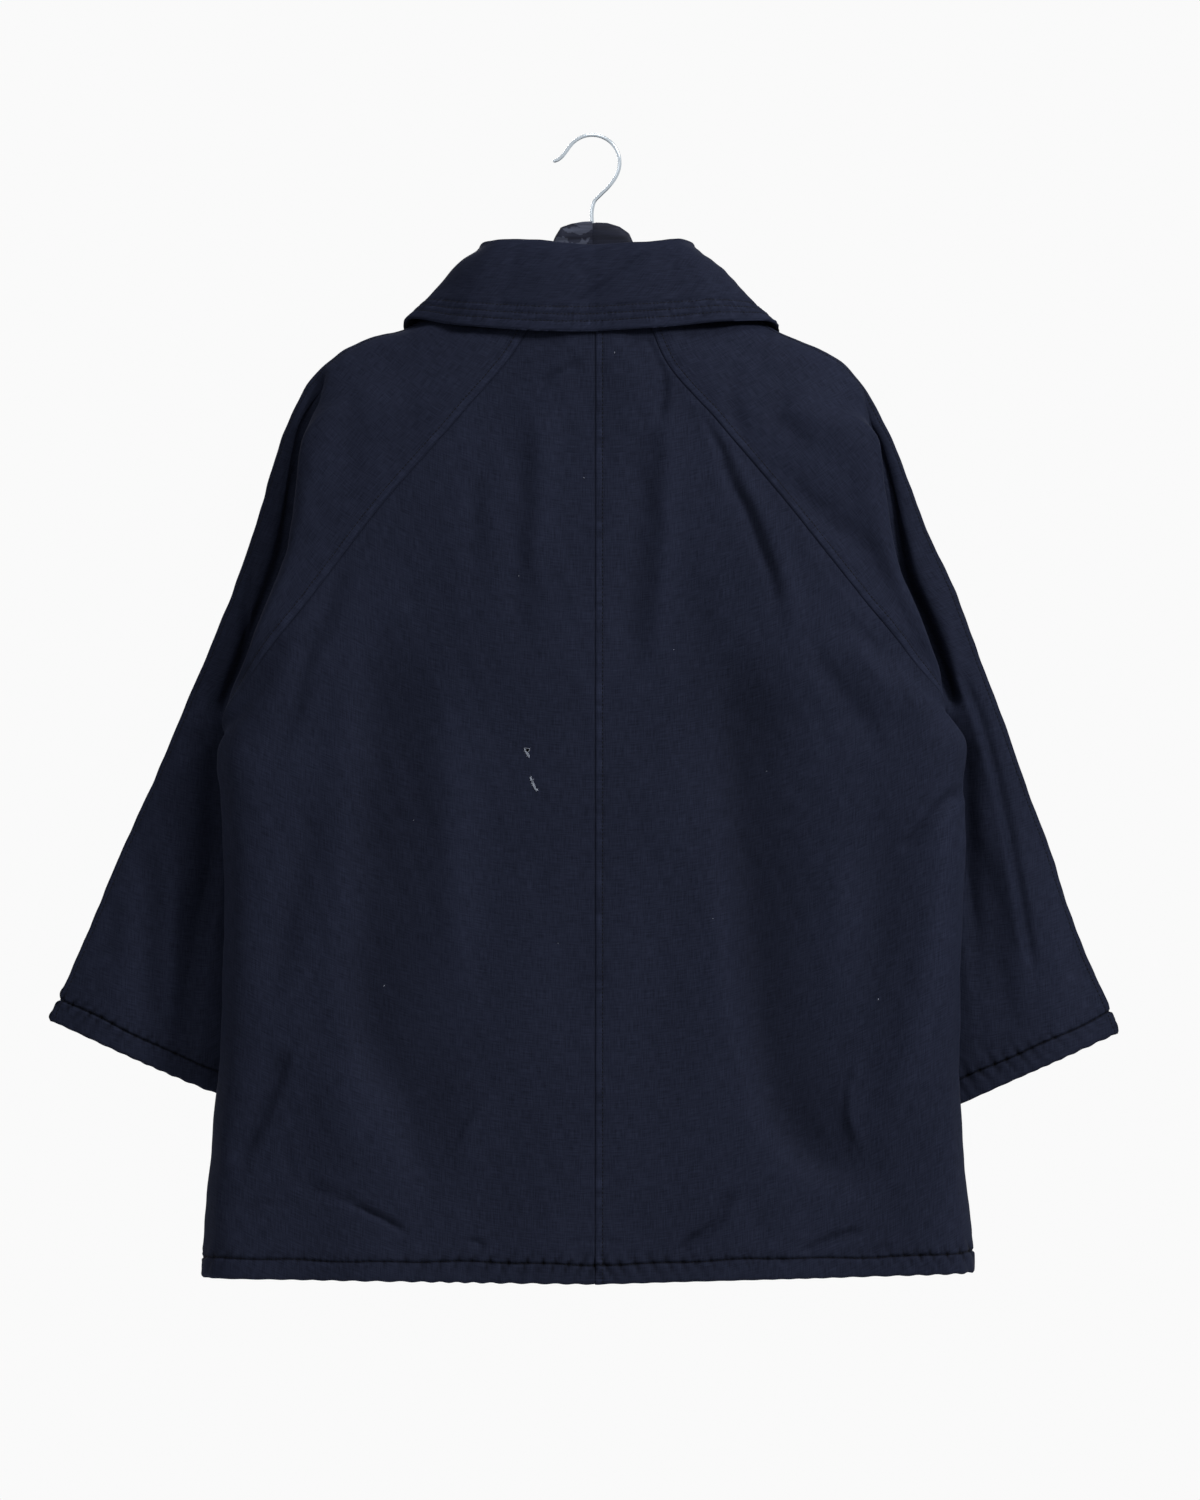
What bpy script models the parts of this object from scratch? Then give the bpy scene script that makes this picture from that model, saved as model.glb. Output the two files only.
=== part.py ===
"""A hip-length raglan coat with a wide folded collar, hung on a two-piece wooden hanger with a wire hook.

The coat's back faces -Y and its front faces +Y. The origin is the inner top of the hanger's hook, so every
height in the tables is a drop below it. Sizes are in millimetres until a mesh is made.
"""

import math
from collections import namedtuple

import bpy
import numpy as np

MM = 0.001
LEFT, RIGHT = -1, 1

# Driving dimensions, in millimetres.
CLOTH_WALL = 3.0          # shell, thin wadding and lining together
COLLAR_WALL = 2.4
SEAM_GAP = 0.3
CORNER_GAP = 1.1          # at the underarm, where four panels meet, easing off over the next rows
CORNER_REACH = 5
UNDERARM_WALL = 1.2       # the wall is pared down towards that corner, over this many rows and columns
PARED_ROWS = 4
PARED_COLUMNS = 3
MITRE_LIMIT = 0.6         # keeps a mitred wall from growing past 1.67 of its thickness
BUTTON_DROPS = (252.0, 382.0, 512.0, 642.0, 772.0)
BUTTON_CLEARANCE = 0.6
BUTTON_SIDES = 16
# Radius and height of each corner of a button's turned profile.
BUTTON_PROFILE = ((0, 0), (8.5, 0), (11, 1.2), (11, 2.4), (9.8, 3.2), (7.8, 3.2), (6.8, 2.3), (0, 2.3))
HOOK_WIRE_RADIUS = 1.55
HOOK_BEND_RADIUS = 22.6
HOOK_CENTRE_OUT = -2.4    # the bend's centre, measured towards the right
HOOK_BEND_DEGREES = (-26, 150)
HOOK_BEND_POINTS = 15
HOOK_POINTS = 54
# Places of the wire towards the right and up, before the bend and after it.
HOOK_SHANK = ((-2.4, -88.0), (-2.4, -72.0), (-2.4, -60.0), (-0.5, -53.0), (5.0, -47.0), (11.5, -40.5))
HOOK_TIP = ((-25.6, -11.5), (-29.2, -16.6), (-34.5, -19.4))
SHANK_SOCKET_DEPTH = 20.0
SOCKET_SIDES = 12
SOCKET_TOP = -60.0
HANGER_JOINT_OUT = -2.0   # the plane where the two halves of the hanger meet

# Where a seam's rows lie along a panel: 0 at the neck, 1 at the hem or cuff.
UNDERARM_AT = 0.62
UPPER_CELLS = 15
LOWER_CELLS = 11
UPPER = np.linspace(0.0, UNDERARM_AT, UPPER_CELLS + 1)
LOWER = np.linspace(UNDERARM_AT, 1.0, LOWER_CELLS + 1)
WHOLE = np.concatenate([UPPER, LOWER[1:]])

# A row of a guide line: how far along the panel it is, how far it lies out from the centre line and below the
# hook on the left and on the right side, and its depth, negative towards the back.
Row = namedtuple("Row", "at left_out left_drop right_out right_drop depth")

RAGLAN_BACK = (
    Row(0.00, 40, 124, 37, 125, -31),
    Row(0.07, 61, 170, 54, 179, -41),
    Row(0.17, 108, 228, 100, 235, -44),
    Row(0.29, 174, 303, 155, 300, -43),
    Row(0.42, 234, 381, 216, 376, -37),
    Row(0.52, 283, 443, 261, 431, -27),
    Row(0.56, 305, 478, 286, 462, -12),
    Row(0.59, 297, 500, 284, 485, 9),
    Row(0.62, 273, 514, 262, 502, 24),
)
RAGLAN_FRONT = (
    Row(0.00, 64, 148, 64, 149, 27),
    Row(0.07, 78, 190, 76, 193, 37),
    Row(0.17, 106, 244, 102, 247, 42),
    Row(0.29, 158, 312, 150, 310, 45),
    Row(0.42, 216, 388, 208, 383, 44),
    Row(0.52, 254, 446, 244, 436, 38),
    Row(0.58, 268, 487, 257, 476, 30),
    Row(0.62, 273, 514, 262, 502, 24),
)
UNDERARM = (
    Row(0.62, 273, 514, 262, 502, 24),
    Row(0.74, 274, 600, 262, 594, 31),
    Row(0.87, 276, 703, 264, 705, 34),
    Row(1.00, 278, 800, 268, 808, 36),
)
SIDE_SEAM = (
    Row(0.62, 273, 514, 262, 502, 24),
    Row(0.70, 266, 570, 258, 560, 14),
    Row(0.82, 268, 720, 260, 720, 11),
    Row(1.00, 284, 931, 274, 931, 12),
)
OVERARM = (
    Row(0.00, 80, 119, 80, 120, 1),
    Row(0.07, 122, 137.5, 126, 145, 1),
    Row(0.11, 154, 155.6, 150, 159.2, 1),
    Row(0.16, 186, 164.8, 184, 173, 1),
    Row(0.20, 212, 178, 206, 188, 2),
    Row(0.23, 229, 193, 221, 204, 3),
    Row(0.29, 249, 227, 238, 236, 5),
    Row(0.42, 278, 314, 272, 316, 9),
    Row(0.52, 302, 383, 296, 374, 12),
    Row(0.62, 338, 469, 328, 457, 17),
    Row(0.74, 371, 544, 362, 549, 23),
    Row(0.87, 413, 640, 396, 647, 29),
    Row(1.00, 450, 725, 433, 735, 33),
)
# The fold that hangs from the hanger's end down to the underarm, and the gulley behind it.
SLEEVE_RIDGE = (
    Row(0.00, 57, 121.5, 56, 122.5, -24),
    Row(0.07, 90, 154, 88, 161, -32),
    Row(0.17, 150, 196, 146, 206, -35),
    Row(0.23, 199, 213, 190, 222, -33),
    Row(0.29, 236, 243, 228, 242, -29),
    Row(0.35, 245, 293, 237, 290, -28),
    Row(0.42, 255, 350, 247, 344, -27),
    Row(0.52, 288, 429, 273, 412, -17),
    Row(0.56, 300, 463, 284, 446, 3),
    Row(0.59, 290, 485, 278, 470, 11),
    Row(0.62, 282, 505.5, 272, 493.5, 20),
    Row(0.74, 286, 595, 275, 591, 20),
    Row(0.87, 294, 696, 282, 698, 21),
    Row(1.00, 298, 791, 288, 800, 24),
)
SLEEVE_GULLEY = (
    Row(0.00, 70, 120, 70, 121, -13),
    Row(0.07, 108, 143, 110, 150, -17),
    Row(0.17, 176, 175, 172, 183, -17),
    Row(0.23, 219, 202, 211, 212, -14),
    Row(0.29, 237, 236, 229, 240, -8),
    Row(0.35, 240, 284, 233, 282, -3),
    Row(0.42, 243, 342, 236, 338, 2),
    Row(0.52, 270, 424, 256, 406, 8),
    Row(0.56, 283, 456, 269, 440, 13),
    Row(0.62, 290, 494, 280, 482, 15),
    Row(0.74, 310, 582, 300, 582, 14),
    Row(0.87, 332, 680, 320, 684, 16),
    Row(1.00, 345, 772, 334, 779, 20),
)
CENTRE_BACK = (
    Row(0.00, 0, 124, 0, 124, -34),
    Row(0.07, 0, 168, 0, 168, -44),
    Row(0.17, 0, 222, 0, 222, -47),
    Row(0.42, 0, 365, 0, 365, -51),
    Row(0.62, 0, 500, 0, 500, -52),
    Row(0.82, 0, 730, 0, 730, -51),
    Row(1.00, 0, 938, 0, 938, -50),
)
# The outer edge of the back: beside the raglan seam above the underarm, and the body's side fold below it.
BACK_EDGE = (
    Row(0.00, 36, 124, 33, 124, -31.5),
    Row(0.07, 54, 170, 48, 178, -41.5),
    Row(0.17, 96, 228, 90, 233, -45),
    Row(0.29, 154, 300, 140, 298, -45),
    Row(0.42, 212, 378, 198, 373, -41),
    Row(0.52, 266, 443, 246, 431, -35),
    Row(0.56, 294, 477, 279, 463, -24),
    Row(0.59, 306, 497, 296, 483, -15),
    Row(0.62, 309, 513, 304, 499, -11),
    Row(0.66, 307, 536, 299, 532, -9),
    Row(0.74, 304, 600, 296, 600, -8),
    Row(0.84, 305, 725, 297, 735, -8),
    Row(0.92, 313, 818, 301, 830, -7),
    Row(1.00, 322, 934, 311, 930, -5),
)
CENTRE_FRONT = (
    Row(0.00, 0, 205, 0, 205, 47),
    Row(0.20, 0, 290, 0, 290, 50),
    Row(0.62, 0, 515, 0, 515, 52),
    Row(1.00, 0, 928, 0, 928, 49),
)
FRONT_CORNER = (
    Row(0.00, 53, 163, 53, 164, 33),
    Row(0.07, 67, 197, 65, 200, 40),
    Row(0.17, 92, 247, 88, 249, 43),
    Row(0.29, 140, 314, 134, 312, 46),
    Row(0.42, 196, 392, 190, 387, 46),
    Row(0.52, 234, 449, 226, 440, 41),
    Row(0.62, 257, 516, 248, 505, 31),
    Row(0.74, 248, 618, 242, 612, 27),
    Row(0.87, 250, 760, 244, 756, 26),
    Row(1.00, 263, 929, 254, 929, 27),
)
# The collar's crest and lower edge, from the centre back (0) to the front (1) along the neck seam.
COLLAR_CREST = (
    Row(0.00, 0, 90, 0, 90, -37),
    Row(0.20, 50, 87, 44, 87, -34),
    Row(0.34, 84, 85.5, 70, 84.5, -21),
    Row(0.41, 93, 88, 79, 87, -4),
    Row(0.50, 90, 98, 80, 98, 14),
    Row(0.62, 76, 121, 71, 121, 31),
    Row(0.80, 46, 155, 44, 155, 46),
    Row(1.00, 6, 186, 6, 186, 53),
)
COLLAR_EDGE = (
    Row(0.00, 0, 161.5, 0, 161.5, -53),
    Row(0.20, 66, 160, 67, 157, -52),
    Row(0.32, 118, 155, 115, 152, -41),
    Row(0.41, 153, 149.2, 147.5, 152, -8),
    Row(0.50, 156, 165, 151, 168, 26),
    Row(0.62, 138, 196, 134, 197, 49),
    Row(0.80, 106, 238, 102, 238, 60),
    Row(1.00, 68, 264, 66, 264, 62),
)

# The lines of the collar's fall and crest: the share of the way from edge to crest, then out and up from there.
Line = namedtuple("Line", "share outwards up")
COLLAR_FALL = (
    Line(0.00, 0.0, 0.0),
    Line(0.38, 1.5, 0.5),
    Line(0.75, 4.0, 1.0),
    Line(1.00, 4.0, -3.5),
    Line(1.00, 0.0, 0.0),
    Line(1.00, -6.5, -4.0),
)
COLLAR_CELLS = (2, 2, 1, 1, 1, 1, 1)
COLLAR_HALF_CELLS = 20
COLLAR_END_OUT = 4.0      # where the collar ends, short of the centre front
STAND_HOLLOW = 2.0        # how far the stand curves in half way up
STAND_CLEARANCE = 0.5

# The back between its centre seam and its side fold: shares of the way out, and lifts in Y.
CORNER_SHARE, CORNER_ROUNDING = 0.955, -15.0
BLADE_SHARE, BLADE_FLATNESS, BLADE_ROUNDING = 0.74, 0.1, -6.5
BACK_MIDDLE_LIFT = -1.5
ROUNDING_SPAN = (0.5, 0.64)
BEHIND_FOLD_LIFT = -6.0   # the strip behind the side fold, lifted from just above the underarm down
BEHIND_FOLD_SPAN = (0.56, 0.62)
BACK_CELLS = (3, 3, 2, 2, 2, 1)

FRONT_LAP = 20.0          # each front's edge past the centre line
FRONT_LAP_STEP = 4.6      # how far the left front lies behind the right
FRONT_LAP_TUCK = 3.5      # and how much more its free edge does at the neck
FRONT_MIDDLE_LIFT = 2.5
FRONT_SCOOP = 9.0         # how far the neck line dips between the centre and the corner
TUCK_SPAN, SCOOP_SPAN = (0.2, 0.0), (0.25, 0.0)
FRONT_CELLS = (1, 3, 4, 3)

SLEEVE_BLADE_SHARE, SLEEVE_BLADE_NEARER = 0.5, 0.12
SLEEVE_BLADE_LIFT = -2.5
SLEEVE_PINCH_AT, SLEEVE_PINCH_REACH = 0.56, 0.1
SLEEVE_OUTER_SHARE, SLEEVE_OUTER_LIFT, SLEEVE_OUTER_SWELL = 0.55, -1.0, -7.0
SLEEVE_OUTER_SPAN = (0.1, 0.45)
SLEEVE_BACK_CELLS = (2, 2, 3, 2, 3)

# How far the sleeve's front wall swells forward of the straight line between its seams.
SWELL_ALONG = (0.0, 0.07, 0.15, 0.25, 0.35, 0.62, 0.8, 1.0)
SWELL_DEPTH = (5.0, 12.0, 19.0, 21.0, 20.0, 24.0, 26.0, 22.0)
SLEEVE_FRONT_SHARES = (0.1, 0.36, 0.64, 0.9)
SLEEVE_FRONT_CELLS = (1, 2, 2, 2, 1)

# The largest soft folds, pressed into the panels: where each starts and ends, its half width and its depth,
# positive for a ridge and negative for a hollow.
Fold = namedtuple("Fold", "start_out start_drop end_out end_drop half_width depth")
FOLD_FADE = 0.3           # the share of a fold's length over which each end fades out
BACK_FOLDS = {
    LEFT: (
        Fold(120, 400, 122, 850, 26, -5.0),
        Fold(52, 300, 60, 900, 28, 3.0),
        Fold(190, 420, 205, 880, 30, 3.5),
        Fold(250, 790, 175, 880, 16, -3.0),
    ),
    RIGHT: (
        Fold(126, 320, 118, 820, 24, -5.0),
        Fold(50, 300, 62, 860, 26, 3.0),
        Fold(200, 400, 214, 900, 30, 3.5),
        Fold(180, 290, 240, 370, 18, -4.0),
    ),
}
FRONT_FOLDS = {
    LEFT: (Fold(110, 380, 128, 900, 26, -4.5), Fold(180, 420, 196, 900, 28, 3.5)),
    RIGHT: (Fold(118, 360, 120, 880, 26, -4.5), Fold(184, 440, 190, 900, 28, 3.5)),
}

# The hanger's arms: top and bottom drop, half thickness and forward shift at each distance from the centre.
Arm = namedtuple("Arm", "out left_top right_top bottom half_thick forward")
HANGER_ARMS = (
    Arm(0, 69.0, 70.0, 126, 7.0, 0.0),
    Arm(10, 69.4, 70.4, 127, 7.0, 0.0),
    Arm(20, 71.2, 73.4, 128, 7.0, 0.0),
    Arm(28, 74.0, 79.0, 130, 7.2, 0.0),
    Arm(33, 82.0, 90.0, 132, 7.0, 0.0),
    Arm(38, 96.0, 103.0, 134, 7.0, 0.0),
    Arm(48, 110.0, 113.0, 139, 7.0, 0.2),
    Arm(80, 126.0, 128.5, 154, 6.5, 0.6),
    Arm(120, 144.5, 150.0, 172, 7.5, 1.0),
    Arm(154, 161.5, 168.0, 187, 8.0, 1.0),
    Arm(186, 173.5, 185.0, 201, 8.5, 1.0),
    Arm(204, 183.0, 197.0, 211, 8.5, 1.0),
    Arm(212, 192.0, 205.0, 215, 7.5, 1.0),
    Arm(216, 201.0, 210.5, 216, 4.5, 1.0),
)
HANGER_SECTION_POINTS = 12
HANGER_SECTION_POWER = 0.75   # below 1 squares the section off

NAVY = (0.013, 0.016, 0.030, 1.0)
NAVY_COLLAR = (0.014, 0.017, 0.031, 1.0)
NAVY_BUTTON = (0.012, 0.014, 0.024, 1.0)
BLACK_WOOD = (0.030, 0.030, 0.034, 1.0)
POLISHED_STEEL = (0.62, 0.63, 0.65, 1.0)


def clear_scene():
    """Removes whatever the file holds, so the coat stands alone."""
    for old in list(bpy.data.objects):
        bpy.data.objects.remove(old, do_unlink=True)


def material(name, colour, roughness, metallic=0.0):
    """A Principled material with one colour."""
    made = bpy.data.materials.new(name)
    made.use_nodes = True
    shader = made.node_tree.nodes["Principled BSDF"]
    shader.inputs["Base Color"].default_value = colour
    shader.inputs["Roughness"].default_value = roughness
    shader.inputs["Metallic"].default_value = metallic
    return made


def facing_out(points, faces):
    """The faces of a closed body, all turned round if they enclose a negative volume."""
    volume = sum(
        np.dot(points[face[0]], np.cross(points[face[k]], points[face[k + 1]]))
        for face in faces for k in range(1, len(face) - 1)
    )
    return [tuple(map(int, face)) if volume > 0 else tuple(map(int, face))[::-1] for face in faces]


def add_object(name, points, faces, finish):
    """Makes a smooth-shaded mesh object from points in millimetres."""
    points = np.asarray(points, float)
    mesh = bpy.data.meshes.new(name)
    mesh.from_pydata((points * MM).tolist(), [], facing_out(points, faces))
    mesh.validate()
    mesh.shade_smooth()
    mesh.set_sharp_from_angle(angle=math.radians(50))
    mesh.materials.append(finish)
    made = bpy.data.objects.new(name, mesh)
    bpy.context.collection.objects.link(made)
    return made


# --- smooth lines through short tables ---

def places(rows, side):
    """The rows of a table as points of one side: X out to that side, Y depth, Z up."""
    if side == LEFT:
        return np.array([(-row.left_out, row.depth, -row.left_drop) for row in rows], float)
    return np.array([(row.right_out, row.depth, -row.right_drop) for row in rows], float)


def tangents_of(gaps, points):
    """Slopes of a smooth line at its points, from the spacing between them (along the first axis)."""
    slopes = np.diff(points, axis=0) / gaps
    tangents = np.empty_like(points)
    tangents[1:-1] = (gaps[1:] * slopes[:-1] + gaps[:-1] * slopes[1:]) / (gaps[1:] + gaps[:-1])
    tangents[0] = 1.5 * slopes[0] - 0.5 * tangents[1]
    tangents[-1] = 1.5 * slopes[-1] - 0.5 * tangents[-2]
    return tangents


def hermite(start, end, start_slope, end_slope, gap, share):
    """A cubic piece between two points at a share of the way."""
    squared, cubed = share ** 2, share ** 3
    return ((2 * cubed - 3 * squared + 1) * start + (cubed - 2 * squared + share) * gap * start_slope
            + (3 * squared - 2 * cubed) * end + (cubed - squared) * gap * end_slope)


def line_through(knots, points, where):
    """A smooth line through points given at knots, read at the places asked for."""
    knots = np.asarray(knots, float)
    gaps = np.diff(knots)[:, None]
    tangents = tangents_of(gaps, points)
    piece = np.clip(np.searchsorted(knots, where, side="right") - 1, 0, len(knots) - 2)
    share = ((where - knots[piece]) / gaps[piece, 0])[:, None]
    return hermite(points[piece], points[piece + 1], tangents[piece], tangents[piece + 1], gaps[piece], share)


def guide(rows, side, where):
    """A guide line of one side, read at the given places along the panel."""
    return line_through([row.at for row in rows], places(rows, side), where)


def ramp(where, start, end):
    """Rises from 0 at the start to 1 at the end, and stays level outside them."""
    return np.clip((where - start) / (end - start), 0, 1)


def seam(upper_rows, lower_rows, side):
    """An edge made of two seams that meet at the underarm."""
    return np.concatenate([guide(upper_rows, side, UPPER), guide(lower_rows, side, LOWER)[1:]])


def across(guides, cells):
    """A patch through guide lines: at each station a smooth curve through them, with cells between each two."""
    points = np.stack(guides)
    gaps = np.linalg.norm(np.diff(points, axis=0), axis=2)[..., None]
    tangents = tangents_of(gaps, points)
    columns = []
    for k, count in enumerate(cells):
        for step in range(count):
            columns.append(hermite(points[k], points[k + 1], tangents[k], tangents[k + 1], gaps[k], step / count))
    columns.append(points[-1])
    return np.stack(columns, axis=1)


# --- panels ---

def press_folds(grid, normals, folds):
    """Moves a patch along its normals: soft hollows and ridges that fade out towards their ends."""
    out, drop = np.abs(grid[..., 0]), -grid[..., 2]
    moved = np.zeros(out.shape)
    for fold in folds:
        run_out, run_drop = fold.end_out - fold.start_out, fold.end_drop - fold.start_drop
        length = math.hypot(run_out, run_drop)
        along = ((out - fold.start_out) * run_out + (drop - fold.start_drop) * run_drop) / length ** 2
        aside = ((out - fold.start_out) * run_drop - (drop - fold.start_drop) * run_out) / length
        fade = np.clip(np.minimum(along, 1 - along) / FOLD_FADE, 0, 1)
        moved += fold.depth * np.exp(-(aside / fold.half_width) ** 2) * fade ** 2 * (3 - 2 * fade)
    return grid + normals * moved[..., None]


def normals_of(grid, facing, rows=slice(None), columns=slice(None)):
    """Unit normals of a patch, turned so that over the rows and columns given they face that way along Y."""
    normal = np.cross(np.gradient(grid, axis=0), np.gradient(grid, axis=1))
    normal /= np.linalg.norm(normal, axis=2, keepdims=True)
    return normal if normal[rows, columns, 1].mean() * facing > 0 else -normal


def midway(first, second, share, lift):
    """Points between two guide lines, lifted in Y; the share and the lift may be columns."""
    between = first + (second - first) * np.reshape(share, (-1, 1))
    between[:, 1] += lift
    return between


def back_panel(side):
    """The back's half: centre seam, two even guides, the rounded corner, the side fold and the seam behind it."""
    centre, edge = guide(CENTRE_BACK, side, WHOLE), guide(BACK_EDGE, side, WHOLE)
    rounding = ramp(WHOLE, *ROUNDING_SPAN) ** 2
    corner = midway(centre, edge, CORNER_SHARE, CORNER_ROUNDING * rounding)
    flattening = BLADE_FLATNESS * (centre[:, 1] - corner[:, 1])
    blade = midway(centre, corner, BLADE_SHARE, flattening + BLADE_ROUNDING * rounding)
    middle = midway(centre, blade, 0.5, BACK_MIDDLE_LIFT)
    seam_line = seam(RAGLAN_BACK, SIDE_SEAM, side)
    behind = midway(edge, seam_line, 0.5, BEHIND_FOLD_LIFT * ramp(WHOLE, *BEHIND_FOLD_SPAN))
    return across([centre, middle, blade, corner, edge, behind, seam_line], BACK_CELLS)


def front_panel(side):
    """The front's half: its free edge past the centre line, the centre, a middle guide, the corner and the side."""
    centre, corner = guide(CENTRE_FRONT, side, WHOLE), guide(FRONT_CORNER, side, WHOLE)
    free = centre.copy()
    free[:, 0] -= side * FRONT_LAP
    if side == LEFT:
        centre[:, 1] -= FRONT_LAP_STEP
        free[:, 1] -= FRONT_LAP_STEP + FRONT_LAP_TUCK * ramp(WHOLE, *TUCK_SPAN)
    middle = midway(centre, corner, 0.5, FRONT_MIDDLE_LIFT)
    middle[:, 2] -= FRONT_SCOOP * ramp(WHOLE, *SCOOP_SPAN)
    return across([free, centre, middle, corner, seam(RAGLAN_FRONT, SIDE_SEAM, side)], FRONT_CELLS)


def sleeve_back_panel(side):
    """The sleeve's back half: raglan or underarm seam, ridge, gulley, outer strip and overarm seam."""
    inner, overarm = seam(RAGLAN_BACK, UNDERARM, side), guide(OVERARM, side, WHOLE)
    ridge, gulley = guide(SLEEVE_RIDGE, side, WHOLE), guide(SLEEVE_GULLEY, side, WHOLE)
    blade_share = SLEEVE_BLADE_SHARE - SLEEVE_BLADE_NEARER * (WHOLE >= UNDERARM_AT)
    from_pinch = ramp(np.abs(WHOLE - SLEEVE_PINCH_AT), 0, SLEEVE_PINCH_REACH)
    blade = midway(inner, ridge, blade_share, SLEEVE_BLADE_LIFT * from_pinch)
    swell = SLEEVE_OUTER_LIFT + SLEEVE_OUTER_SWELL * ramp(WHOLE, *SLEEVE_OUTER_SPAN)
    outer = midway(gulley, overarm, SLEEVE_OUTER_SHARE, swell)
    return across([inner, blade, ridge, gulley, outer, overarm], SLEEVE_BACK_CELLS)


def sleeve_front_panel(side):
    """The sleeve's front half, swelling forward between the overarm seam and the raglan or underarm seam."""
    overarm, inner = guide(OVERARM, side, WHOLE), seam(RAGLAN_FRONT, UNDERARM, side)
    swell = np.interp(WHOLE, SWELL_ALONG, SWELL_DEPTH)
    between = [midway(overarm, inner, share, swell * math.sin(math.pi * share) ** 0.5)
               for share in SLEEVE_FRONT_SHARES]
    return across([overarm, *between, inner], SLEEVE_FRONT_CELLS)


def patch_for(kind, side):
    """The outer grid of a panel and its normals, with its largest folds pressed in."""
    shape, facing = {
        "back": (back_panel, -1), "front": (front_panel, 1),
        "sleeve_back": (sleeve_back_panel, -1), "sleeve_front": (sleeve_front_panel, 1),
    }[kind]
    grid = shape(side)
    normals = normals_of(grid, facing)
    folds = {"back": BACK_FOLDS, "front": FRONT_FOLDS}.get(kind)
    if folds:
        grid = press_folds(grid, normals, folds[side])
        normals = normals_of(grid, facing)
    return grid, normals


def share_normals(normals):
    """Gives both panels at each seam the same normal there, so their walls meet in a mitre."""
    joins = [("back", LEFT, 0, slice(None), "back", RIGHT, 0)]
    above, below = slice(0, UPPER_CELLS), slice(UPPER_CELLS + 1, None)
    for side in (LEFT, RIGHT):
        joins += [
            ("back", side, -1, above, "sleeve_back", side, 0),
            ("back", side, -1, below, "front", side, -1),
            ("front", side, -1, above, "sleeve_front", side, -1),
            ("sleeve_back", side, 0, below, "sleeve_front", side, -1),
            ("sleeve_back", side, -1, slice(None), "sleeve_front", side, 0),
        ]
    for kind, side, column, rows, other, other_side, other_column in joins:
        mean = normals[kind, side][rows, column] + normals[other, other_side][rows, other_column]
        mean /= np.linalg.norm(mean, axis=1, keepdims=True)
        normals[kind, side][rows, column] = mean
        normals[other, other_side][rows, other_column] = mean
    for side in (LEFT, RIGHT):
        corners = [("back", -1), ("front", -1), ("sleeve_back", 0), ("sleeve_front", -1)]
        mean = 0.3 * sum(normals[kind, side][UPPER_CELLS, column] for kind, column in corners)
        mean[2] -= 1.0
        mean /= np.linalg.norm(mean)
        for kind, column in corners:
            normals[kind, side][UPPER_CELLS, column] = mean


def drawn_back(grid, normals, column, four_meet):
    """Moves a long edge of a patch half a seam gap inwards, square to the seam and in the cloth's plane."""
    inside = 1 if column == 0 else -2
    along = np.gradient(grid[:, column], axis=0)
    inward = np.cross(along, normals[:, column])
    inward /= np.linalg.norm(inward, axis=1, keepdims=True)
    towards = np.sum(inward * (grid[:, inside] - grid[:, column]), axis=1, keepdims=True)
    inward *= np.sign(towards)
    gap = np.full((len(grid), 1), SEAM_GAP / 2)
    if four_meet:
        corner = grid[UPPER_CELLS, inside] - grid[UPPER_CELLS, column]
        inward[UPPER_CELLS] = corner / np.linalg.norm(corner)
        nearness = np.clip(1 - np.abs(np.arange(len(grid)) - UPPER_CELLS) / CORNER_REACH, 0, 1)
        gap[:, 0] += (CORNER_GAP - SEAM_GAP / 2) * nearness
    grid[:, column] += inward * gap


def wall_faces(rows, columns):
    """Quads of a closed wall: the outer grid, the inner grid behind it and the strip round their edges."""
    index = np.arange(rows * columns).reshape(rows, columns)
    behind = index + rows * columns
    outer = np.stack([index[:-1, :-1], index[1:, :-1], index[1:, 1:], index[:-1, 1:]], -1).reshape(-1, 4)
    inner = np.stack([behind[:-1, :-1], behind[:-1, 1:], behind[1:, 1:], behind[1:, :-1]], -1).reshape(-1, 4)
    rim = np.concatenate([index[0, :-1], index[:-1, -1], index[-1, :0:-1], index[:0:-1, 0]])
    after = np.roll(rim, -1)
    strip = np.stack([rim, after, after + rows * columns, rim + rows * columns], -1)
    return np.concatenate([outer, inner, strip])


def wall(name, outer, inner, finish):
    """A closed wall between two grids of points."""
    points = np.concatenate([outer.reshape(-1, 3), inner.reshape(-1, 3)])
    return add_object(name, points, wall_faces(*outer.shape[:2]), finish)


PANEL_NAMES = {
    ("back", LEFT): "back_left", ("back", RIGHT): "back_right",
    ("front", LEFT): "front_left", ("front", RIGHT): "front_right",
    ("sleeve_back", LEFT): "sleeve_left_back", ("sleeve_back", RIGHT): "sleeve_right_back",
    ("sleeve_front", LEFT): "sleeve_left_front", ("sleeve_front", RIGHT): "sleeve_right_front",
}
FREE_COLUMNS = {"front": (0,)}
UNDERARM_COLUMN = {"back": -1, "front": -1, "sleeve_back": 0, "sleeve_front": -1}


def pared_wall(shape, column):
    """The wall's thickness over a patch: full, but pared down round the underarm corner."""
    rows, columns = np.arange(shape[0]), np.arange(shape[1])
    from_seam = columns if column == 0 else columns[::-1]
    near_row = np.clip(1 - np.abs(rows - UPPER_CELLS) / PARED_ROWS, 0, 1)
    near_seam = np.clip(1 - from_seam / PARED_COLUMNS, 0, 1)
    nearness = near_row[:, None] * near_seam[None, :]
    return (CLOTH_WALL + (UNDERARM_WALL - CLOTH_WALL) * nearness)[..., None]


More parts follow.
